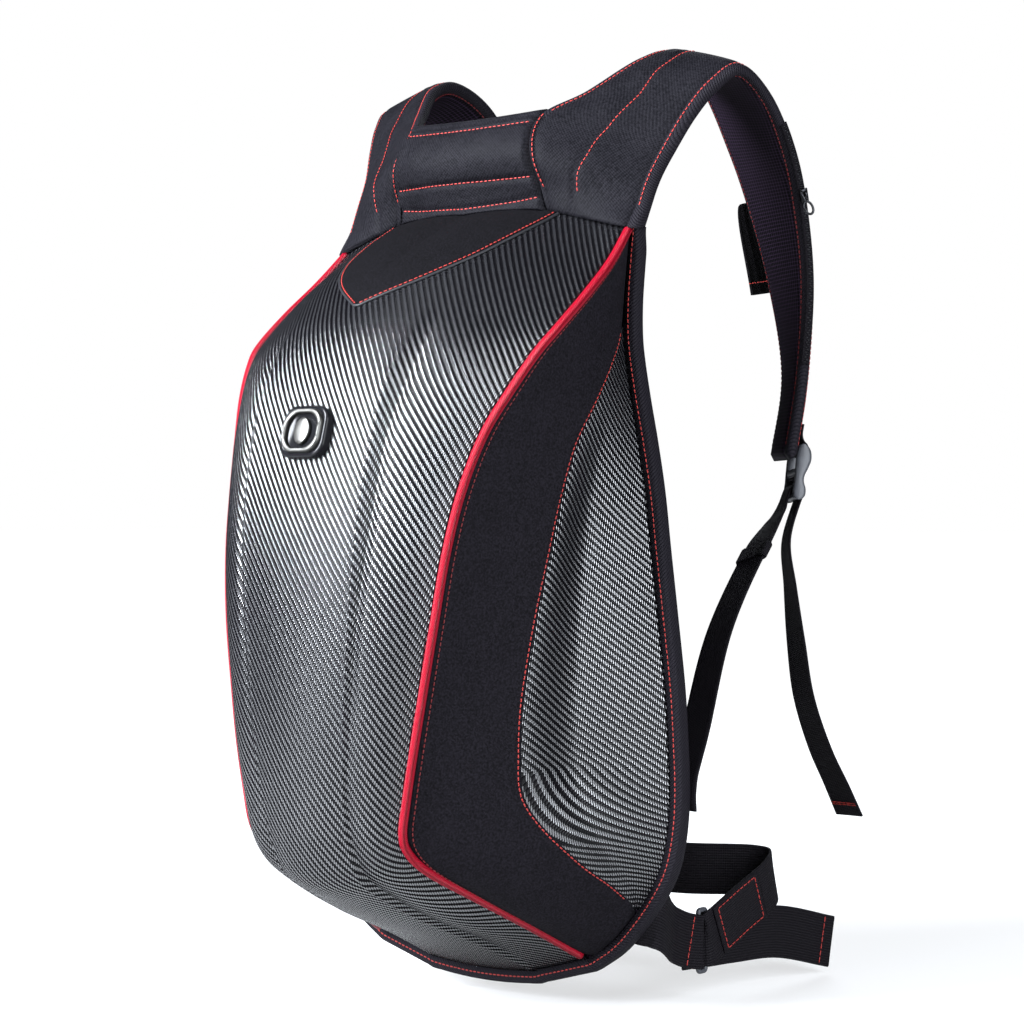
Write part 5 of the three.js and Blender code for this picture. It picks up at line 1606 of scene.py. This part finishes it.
class BACKPACK_OT_zip(bpy.types.Operator):
    """Short zip on the right strap's outer edge, with its slider and ring pull."""

    bl_idname = "backpack.strap_zip"
    bl_label = "Strap Zip"

    def execute(self, context):
        look = look_of(context)
        t = np.linspace(0.6, 0.9, ZIP_STEPS)
        edge = self.edge(t, 0.9 * MM, STRAP_EDGE / 2)
        _, _, pad = strap_at(t)
        line, _ = resampled(edge, 2.4 * MM)
        ways = pad[np.linspace(0, ZIP_STEPS - 1, len(line)).astype(int)]
        points, faces, flow = joined([tube(line, ways, band_outline(5 * MM, 1.0 * MM))])
        make_piece("zip_tape", points, faces, [webbing(look)], flow, replaces=["strap_zip"],
                   slot="black_plastic")
        teeth = []
        places, _ = resampled(edge, 1.5 * MM)
        outs = unit(self.edge(t, 2 * MM, STRAP_EDGE / 2) - edge)
        for i in range(1, len(places) - 1):
            at = int(i / len(places) * (ZIP_STEPS - 1))
            shift = pad[at] * (0.45 * MM if i % 2 else -0.45 * MM)
            middle = places[i] + outs[at] * 0.5 * MM + shift
            teeth.append(bar(middle - pad[at] * 0.9 * MM, middle + pad[at] * 0.9 * MM, 0.9 * MM,
                             0.8 * MM, outs[at])[::4, ::3])
        points, faces, _ = joined(teeth)
        make_piece("zip_teeth", points, faces, [dark_metal()], slot="black_plastic")
        self.add_pull()
        return {"FINISHED"}

    def edge(self, t, away, deep):
        inner, outer, pad = strap_at(t)
        return outer + unit(outer - inner) * away + pad * deep

    def add_pull(self):
        t = ZIP_PULL_SHARE
        inner, outer, pad = (x[0] for x in strap_at(t))
        out = unit(outer - inner)
        up = unit(strap_at(t - 0.02)[1][0] - strap_at(t + 0.02)[1][0])
        base = self.edge(np.array([t]), 3.6 * MM, STRAP_EDGE / 2)[0]
        body = [bar(base + up * 4 * MM, base - up * 4 * MM, 4.6 * MM, 2.2 * MM, pad),
                bar(base + up * 2 * MM + out * 1.2 * MM, base - up * 2.4 * MM + out * 1.2 * MM,
                    1.6 * MM, 1.6 * MM, pad, bend=out * 1.0 * MM)]
        points, faces, _ = joined(body)
        finish = dark_metal()
        make_piece("zip_slider_body", points, faces, [finish], replaces=["zip_slider"],
                   slot="satin_metal")
        low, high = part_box("zip_pull")
        top = np.array([low.x + 2 * MM, (low.y + high.y) / 2, (low.z + high.z) / 2])
        hang = unit(np.array([0.34, 0.29, -0.89]))
        face = unit(np.array([0.643, -0.766, 0.0]))
        wide = np.cross(hang, face)
        angle = np.linspace(0, 2 * np.pi, 29)
        eye = (top + hang * 9.6 * MM + wide * (np.cos(angle) * 2.5 * MM)[:, None]
               + hang * (np.sin(angle) * 4.0 * MM)[:, None])
        ring = tube(eye, np.tile(face, (29, 1)), round_outline(0.75 * MM, 8))
        stem = tube(evenly([base, top - hang * 1.5 * MM, top + hang * 2 * MM, top + hang * 5.6 * MM],
                           14), np.tile(face, (14, 1)), round_outline(0.8 * MM, 8))
        points, faces, _ = joined([ring, stem])
        make_piece("zip_ring", points, faces, [finish], replaces=["zip_pull"],
                   slot="satin_metal")


BELT_WIDTH = 32 * MM
BELT_THICKNESS = 1.8 * MM
PATCH_WIDTH = BELT_WIDTH * 0.96
PATCH_THICKNESS = 1.2 * MM
RING_WIRE = 3 * MM
RING_DEPTH = 10 * MM
BELT_GAP = 2 * SEAM_GAP + BELT_THICKNESS / 2
# Across is a share of half the bag's width, back a share of its depth behind the back panel, up a
# share of its height, and tilt the way that the band's width leans back.
LONG_ROWS = ((-0.689, 0.000, -0.493, 0.00), (-0.751, 0.003, -0.493, 0.00),
             (-0.819, 0.035, -0.490, 0.00), (-0.881, 0.231, -0.488, 0.00),
             (-0.771, 0.481, -0.488, 0.00), (-0.380, 0.631, -0.486, 0.00),
             (0.000, 0.661, -0.484, 0.00), (0.400, 0.661, -0.482, -0.05),
             (0.660, 0.781, -0.482, -0.15), (0.735, 0.790, -0.484, -0.25),
             (0.775, 0.731, -0.493, -0.30), (0.775, 0.536, -0.522, -0.40),
             (0.772, 0.384, -0.546, -0.45))
SHORT_ROWS = ((0.689, 0.000, -0.505, 0.00), (0.751, 0.003, -0.507, 0.00),
              (0.805, 0.035, -0.511, 0.00), (0.763, 0.175, -0.537, 0.00),
              (0.750, 0.280, -0.550, 0.00))
FREE_ROWS = ((0.740, 0.379, -0.554, -0.25), (0.733, 0.575, -0.558, 0.00),
             (0.750, 0.807, -0.563, 0.15), (0.784, 1.109, -0.590, 0.30))
RING_PLACE = (0.75, 0.343, -0.552)


def belt_spots(rows):
    rows = np.atleast_2d(rows)
    return np.stack([rows[:, 0] * HALF_WIDTH, BELT_GAP + rows[:, 1] * BAG_DEPTH,
                     rows[:, 2] * BAG_HEIGHT], -1)


class BACKPACK_OT_belt(bpy.types.Operator):
    """Elastic waist belt with its ring, sewn patch and free tail."""

    bl_idname = "backpack.waist_belt"
    bl_label = "Waist Belt"

    def execute(self, context):
        look = look_of(context)
        ring = belt_spots(RING_PLACE)[0]
        rear = ring + [0, RING_DEPTH / 2 - RING_WIRE / 2, 0]
        fore = ring - [0, RING_DEPTH / 2 - RING_WIRE / 2, 0]
        rows = self.add_long(look, rear)
        rows += self.add_short(look, fore)
        rows += self.add_tail(look)
        make_stitches("belt_stitches", rows, red_thread(look))
        self.add_ring(ring)
        return {"FINISHED"}

    def band(self, look, name, rows, extra, count, replaces):
        """A band through the rows, with extra points after them, upright at its last end."""
        points = np.vstack([belt_spots(rows), *extra]) if len(extra) else belt_spots(rows)
        line = evenly(points, count)
        far = lengths_along(line)
        row_line = belt_spots(rows)
        at = [far[np.argmin(np.linalg.norm(line - p, axis=1))] for p in row_line]
        tilt = np.interp(far, at, np.array(rows)[:, 3])
        if len(extra):
            start = at[-2]
            tilt = tilt * (1 - ramp(far, start, far[-1] - 3 * MM))
        ways = np.stack([0 * tilt, tilt, 1 + 0 * tilt], -1)
        add_band(name, line, ways, BELT_WIDTH, BELT_THICKNESS, elastic(look), "hung",
                 ["belt_slot_ring"], replaces=[replaces], slot="black_webbing")
        return line, ways

    def around(self, middle, start, end, radius):
        """Points round an upright bar, by angles from the bag's right towards its front."""
        angle = np.radians(np.linspace(start, end, 7))
        return [middle + [radius * math.cos(a), -radius * math.sin(a), 0] for a in angle]

    def add_long(self, look, rear):
        rear = rear + [0, 0, 0.5 * MM]
        extra = self.around(rear, 15, 170, 2.5 * MM)
        line, ways = self.band(look, "belt_long_band", LONG_ROWS, extra, 220, "belt_long")
        near = np.argmin(np.linalg.norm(line - belt_spots(LONG_ROWS[-1])[0], axis=1))
        spacing = np.linalg.norm(line[1] - line[0])
        patch = slice(near - int(51 * MM / spacing), near - int(2 * MM / spacing))
        seat, way = line[patch], ways[patch]
        along = unit(np.gradient(seat, axis=0))
        side = unit(way - along * np.sum(way * along, axis=1, keepdims=True))
        face = np.cross(along, side)
        face = face * np.sign(face[:, :1])
        lift = BELT_THICKNESS / 2 + PATCH_THICKNESS / 2
        add_band("patch_cloth", seat + face * lift, way, PATCH_WIDTH, PATCH_THICKNESS,
                 elastic(look), "laid", ["belt_long_band"], replaces=["belt_patch"],
                 slot="black_webbing")
        half = PATCH_WIDTH / 2 - 2.0 * MM
        top = seat + face * (lift + PATCH_THICKNESS / 2)
        pitch = {"length": 3.0 * MM, "pitch": 4.0 * MM}
        inset = max(2, int(2.4 * MM / spacing))
        span = slice(inset, len(seat) - inset)
        rows = [stitch_row((top + side * half * sign)[span], face[span], look, **pitch)
                for sign in (1, -1)]
        for i in (inset, len(seat) - 1 - inset):
            cross = top[i] + side[i] * np.linspace(-half, half, 24)[:, None]
            rows.append(stitch_row(cross, np.tile(face[i], (24, 1)), look, **pitch))
        return rows

    def across(self, look, line, ways, i, lift):
        """A row of stitches across a band at one of its points, on both faces."""
        along = unit(line[i + 1] - line[i - 1])
        side = unit(ways[i] - along * np.dot(ways[i], along))
        face = np.cross(along, side)
        rows = []
        for sign in (1, -1):
            cross = (line[i] + face * sign * lift
                     + side * np.linspace(-0.46, 0.46, 24)[:, None] * BELT_WIDTH)
            rows.append(stitch_row(cross, np.tile(face * sign, (24, 1)), look, length=3.6 * MM,
                                   pitch=4.0 * MM))
        return rows

    def add_short(self, look, fore):
        fore = fore - [0, 0, 0.4 * MM]
        extra = self.around(fore, -10, -170, 2.5 * MM)
        back = [fore + [-2.9 * MM, -5 * MM, 0], fore + [-2.6 * MM, -11 * MM, 0.4 * MM]]
        line, ways = self.band(look, "belt_short_band", SHORT_ROWS, [*extra, *back], 150,
                               "belt_short")
        near = np.argmin(np.linalg.norm(line - (fore + [1.0 * MM, -9 * MM, 0]), axis=1))
        return self.across(look, line, ways, near, BELT_THICKNESS / 2)

    def add_tail(self, look):
        line, ways = self.band(look, "belt_free_end", FREE_ROWS, [], 90, "belt_tail")
        spacing = np.linalg.norm(line[1] - line[0])
        return self.across(look, line, ways, len(line) - 1 - int(11 * MM / spacing),
                           BELT_THICKNESS / 2)

    def add_ring(self, ring):
        tall = BELT_WIDTH / 2 + 2 * SEAM_GAP + RING_WIRE / 2
        deep = RING_DEPTH / 2 - RING_WIRE / 2
        corner = 1.6 * MM
        loop = []
        for y, z, start in ((deep, tall, 0), (-deep, tall, 90), (-deep, -tall, 180),
                            (deep, -tall, 270)):
            centre = np.array([0, math.copysign(deep - corner, y), math.copysign(tall - corner, z)])
            for a in np.radians(np.linspace(start, start + 90, 6)):
                loop.append(ring + centre + corner * np.array([0, math.cos(a), math.sin(a)]))
        loop = np.array(loop + loop[:1])
        rings = tube(loop, np.tile([1.0, 0, 0], (len(loop), 1)), round_outline(RING_WIRE / 2, 10))
        rings[0] = rings[-1] = (rings[0] + rings[-1]) / 2
        points, faces, _ = joined([rings])
        make_piece("belt_slot_ring", points, faces[:-2], [plastic()], replaces=["belt_ring"],
                   slot="black_plastic")


def rounded_loop(width, height, corner, cells=7):
    """A closed outline with rounded corners about the origin."""
    points = []
    for x, y, start in ((1, 1, 0), (-1, 1, 90), (-1, -1, 180), (1, -1, 270)):
        for a in np.radians(np.linspace(start, start + 90, cells)):
            points.append((x * (width / 2 - corner) + corner * math.cos(a),
                           y * (height / 2 - corner) + corner * math.sin(a)))
    return np.array(points)


class BACKPACK_OT_badge(bpy.types.Operator):
    """Gloss black badge plate with its satin ring and plain lens-shaped insert."""

    bl_idname = "backpack.badge"
    bl_label = "Badge"

    def execute(self, context):
        place = 0.333
        here = shell_points(place, 0.0)[0]
        up = unit(shell_points(place - 0.03, 0.0)[0] - shell_points(place + 0.03, 0.0)[0])
        across = np.array([1.0, 0, 0])
        out = unit(np.cross(across, up))
        origin = here + out * 2 * SEAM_GAP
        self.axes = (origin, across, up, out)
        gloss = gloss_black()
        metal = satin()
        outer = rounded_loop(34 * MM, 30 * MM, 9.5 * MM, 12)
        self.stack("badge_plate", [(outer * 0.99, -1.5), (outer, 0.0), (outer, 3.0),
                                   (outer * 0.99, 4.0), (outer * 0.95, 4.6), (outer * 0.86, 4.7),
                                   (outer * 0.80, 4.0)], gloss, "badge_base", "gloss_black")
        high = rounded_loop(28.6 * MM, 24.8 * MM, 9 * MM, 12)
        low = rounded_loop(24.2 * MM, 20.2 * MM, 9.2 * MM, 12)
        rim = [(high, 3.6), (high, 5.8), (high * 0.985, 6.5), (mix_loop(high, low, 0.25), 6.9),
               (mix_loop(high, low, 0.75), 6.9), (low * 1.015, 6.5), (low, 5.8), (low, 3.6)]
        self.stack("badge_rim", rim, metal, "badge_ring", "satin_metal", closed=True)
        a = np.linspace(0, np.pi, 22)
        side = np.stack([5.8 * MM * np.sin(a) ** 1.15, 8.0 * MM * np.cos(a)], -1)
        lens = np.concatenate([side, (side * [-1, 1])[-2:0:-1]])[::-1]
        self.stack("badge_lens", [(lens, 3.8), (lens, 5.4), (lens * 0.93, 6.1), (lens * 0.7, 6.5),
                                  (lens * 0.35, 6.7)], metal, "badge_insert", "satin_metal")
        return {"FINISHED"}

    def stack(self, name, layers, finish, node, slot, closed=False):
        """A piece from outlines at heights above the shell, capped or closed into a ring."""
        origin, across, up, out = self.axes
        rings = np.stack([origin + across * shape[:, :1] + up * shape[:, 1:] + out * height * MM
                          for shape, height in layers])
        rows, columns = rings.shape[:2]
        faces = grid_quads(rows, columns, wrap=True).tolist()
        if closed:
            last = (rows - 1) * columns
            beside = [(j + 1) % columns for j in range(columns)]
            faces += [[last + j, last + k, k, j] for j, k in enumerate(beside)]
        else:
            faces += end_faces(rows, columns)
        sharpen(make_piece(name, rings.reshape(-1, 3), faces, [finish], replaces=[node], slot=slot))


def mix_loop(a, b, k):
    return a * (1 - k) + b * k


# Stage

CAMERA_TARGET = Vector((0.0084, 0.0071, 0.0))
CAMERA_AZIMUTH = math.radians(40)
CAMERA_DISTANCE = 1.5
CAMERA_LENS = 87.9
FLOOR_DROP = 0.004
LIGHTS = (
    # name, azimuth, elevation, distance, width, height, watts
    ("front_softbox", -22, 26, 1.7, 0.55, 1.2, 230),
    ("fill_softbox", 3, 13, 2.2, 0.5, 1.1, 22),
    ("side_softbox", 78, 13, 1.7, 0.8, 1.5, 70),
    ("top_softbox", 35, 50, 1.6, 1.0, 0.4, 3),
    ("rear_softbox", 205, 30, 1.9, 1.2, 1.2, 11),
)


def round_the_bag(azimuth, elevation, distance):
    """A place seen from the bag at an azimuth and elevation in degrees."""
    a, e = math.radians(azimuth), math.radians(elevation)
    return Vector((math.sin(a) * math.cos(e), -math.cos(a) * math.cos(e), math.sin(e))) * distance


class BACKPACK_OT_stage(bpy.types.Operator):
    """Pale floor, soft studio lights and the camera."""

    bl_idname = "backpack.stage"
    bl_label = "Stage"

    def execute(self, context):
        scene = context.scene
        self.add_floor()
        for name, azimuth, elevation, distance, width, height, watts in LIGHTS:
            self.add_softbox(name, round_the_bag(azimuth, elevation, distance), width, height, watts)
        self.add_world(scene)
        camera = bpy.data.objects.new("camera", bpy.data.cameras.new("camera"))
        camera.data.lens = CAMERA_LENS
        camera.location = CAMERA_TARGET + round_the_bag(math.degrees(CAMERA_AZIMUTH), 0,
                                                        CAMERA_DISTANCE)
        camera.rotation_euler = (math.pi / 2, 0, CAMERA_AZIMUTH)
        scene.collection.objects.link(camera)
        scene.camera = camera
        return {"FINISHED"}

    def add_floor(self):
        size = 30.0
        level = CAD_BOX[0].z - FLOOR_DROP
        mesh = bpy.data.meshes.new("floor")
        mesh.from_pydata([(-size, -size, level), (size, -size, level), (size, size, level),
                          (-size, size, level)], [], [(0, 1, 2, 3)])
        finish, tree, shader = new_finish("pale_floor", Roughness=0.6, Emission_Color=(1, 1, 1, 1))
        tinted(tree, shader, speckle(tree, 3), (0.34, 0.34, 0.34), (0.38, 0.38, 0.38))
        place = node(tree, "ShaderNodeTexCoord").outputs["Object"]
        away = node(tree, "ShaderNodeVectorMath", [place], operation="LENGTH").outputs["Value"]
        # Painted light: for all but camera rays the floor glows, most within 0.4 m of the bag, as a
        # painted pool of bounce light under it.
        painted_glow_pool = node(tree, "ShaderNodeMapRange", {"Value": away, "From Min": 0.4, "From Max": 1.0,
                                                 "To Min": 0.2, "To Max": 0.03}).outputs[0]
        wide = node(tree, "ShaderNodeMapRange", {"Value": away, "From Min": 0.3, "From Max": 2.0,
                                                 "To Min": 0.55, "To Max": 1.0}).outputs[0]
        seen = node(tree, "ShaderNodeLightPath").outputs["Is Camera Ray"]
        glow = node(tree, "ShaderNodeMix", {0: seen, 2: painted_glow_pool, 3: wide}).outputs[0]
        tree.links.new(glow, shader.inputs["Emission Strength"])
        mesh.materials.append(finish)
        floor = bpy.data.objects.new("floor", mesh)
        bpy.context.scene.collection.objects.link(floor)

    def add_softbox(self, name, place, width, height, watts):
        light = bpy.data.lights.new(name, "AREA")
        light.shape = "RECTANGLE"
        light.size = width
        light.size_y = height
        light.energy = watts
        light.color = (0.88, 0.93, 1.0)
        lamp = bpy.data.objects.new(name, light)
        lamp.location = place
        lamp.rotation_euler = (-place).to_track_quat("-Z", "Y").to_euler()
        bpy.context.scene.collection.objects.link(lamp)

    def add_world(self, scene):
        world = bpy.data.worlds.new("studio")
        world.use_nodes = True
        background = world.node_tree.nodes["Background"]
        background.inputs["Color"].default_value = (1, 1, 1, 1)
        tree = world.node_tree
        seen = node(tree, "ShaderNodeLightPath").outputs["Is Camera Ray"]
        strength = calc(tree, "MULTIPLY_ADD", seen, 0.98, 0.02)
        tree.links.new(strength, background.inputs["Strength"])
        scene.world = world
        scene.view_settings.view_transform = "Standard"


class BACKPACK_PT_panel(bpy.types.Panel):
    """Lists the bag's pieces, and the sizes and colours of its finishes."""

    bl_idname = "BACKPACK_PT_panel"
    bl_label = "Motorcycle Backpack"
    bl_space_type = "VIEW_3D"
    bl_region_type = "UI"
    bl_category = "Backpack"

    def draw(self, context):
        layout = self.layout
        look = look_of(context)
        for name in BackpackLook.__annotations__:
            layout.prop(look, name)
        for step in STEPS:
            layout.operator(step.bl_idname)


STEPS = (
    BACKPACK_OT_stage,
    BACKPACK_OT_front_shell,
    BACKPACK_OT_side_panels,
    BACKPACK_OT_piping,
    BACKPACK_OT_top_panel,
    BACKPACK_OT_back,
    BACKPACK_OT_straps,
    BACKPACK_OT_yoke,
    BACKPACK_OT_webbing,
    BACKPACK_OT_zip,
    BACKPACK_OT_belt,
    BACKPACK_OT_badge,
)
CLASSES = (BackpackLook, *STEPS, BACKPACK_PT_panel)


def register():
    for cls in CLASSES:
        bpy.utils.register_class(cls)
    bpy.types.Scene.backpack_look = PointerProperty(type=BackpackLook)


def unregister():
    del bpy.types.Scene.backpack_look
    for cls in reversed(CLASSES):
        bpy.utils.unregister_class(cls)


def main():
    register()
    for step in STEPS:
        group, name = step.bl_idname.split(".")
        getattr(getattr(bpy.ops, group), name)()


if __name__ == "__main__":
    main()
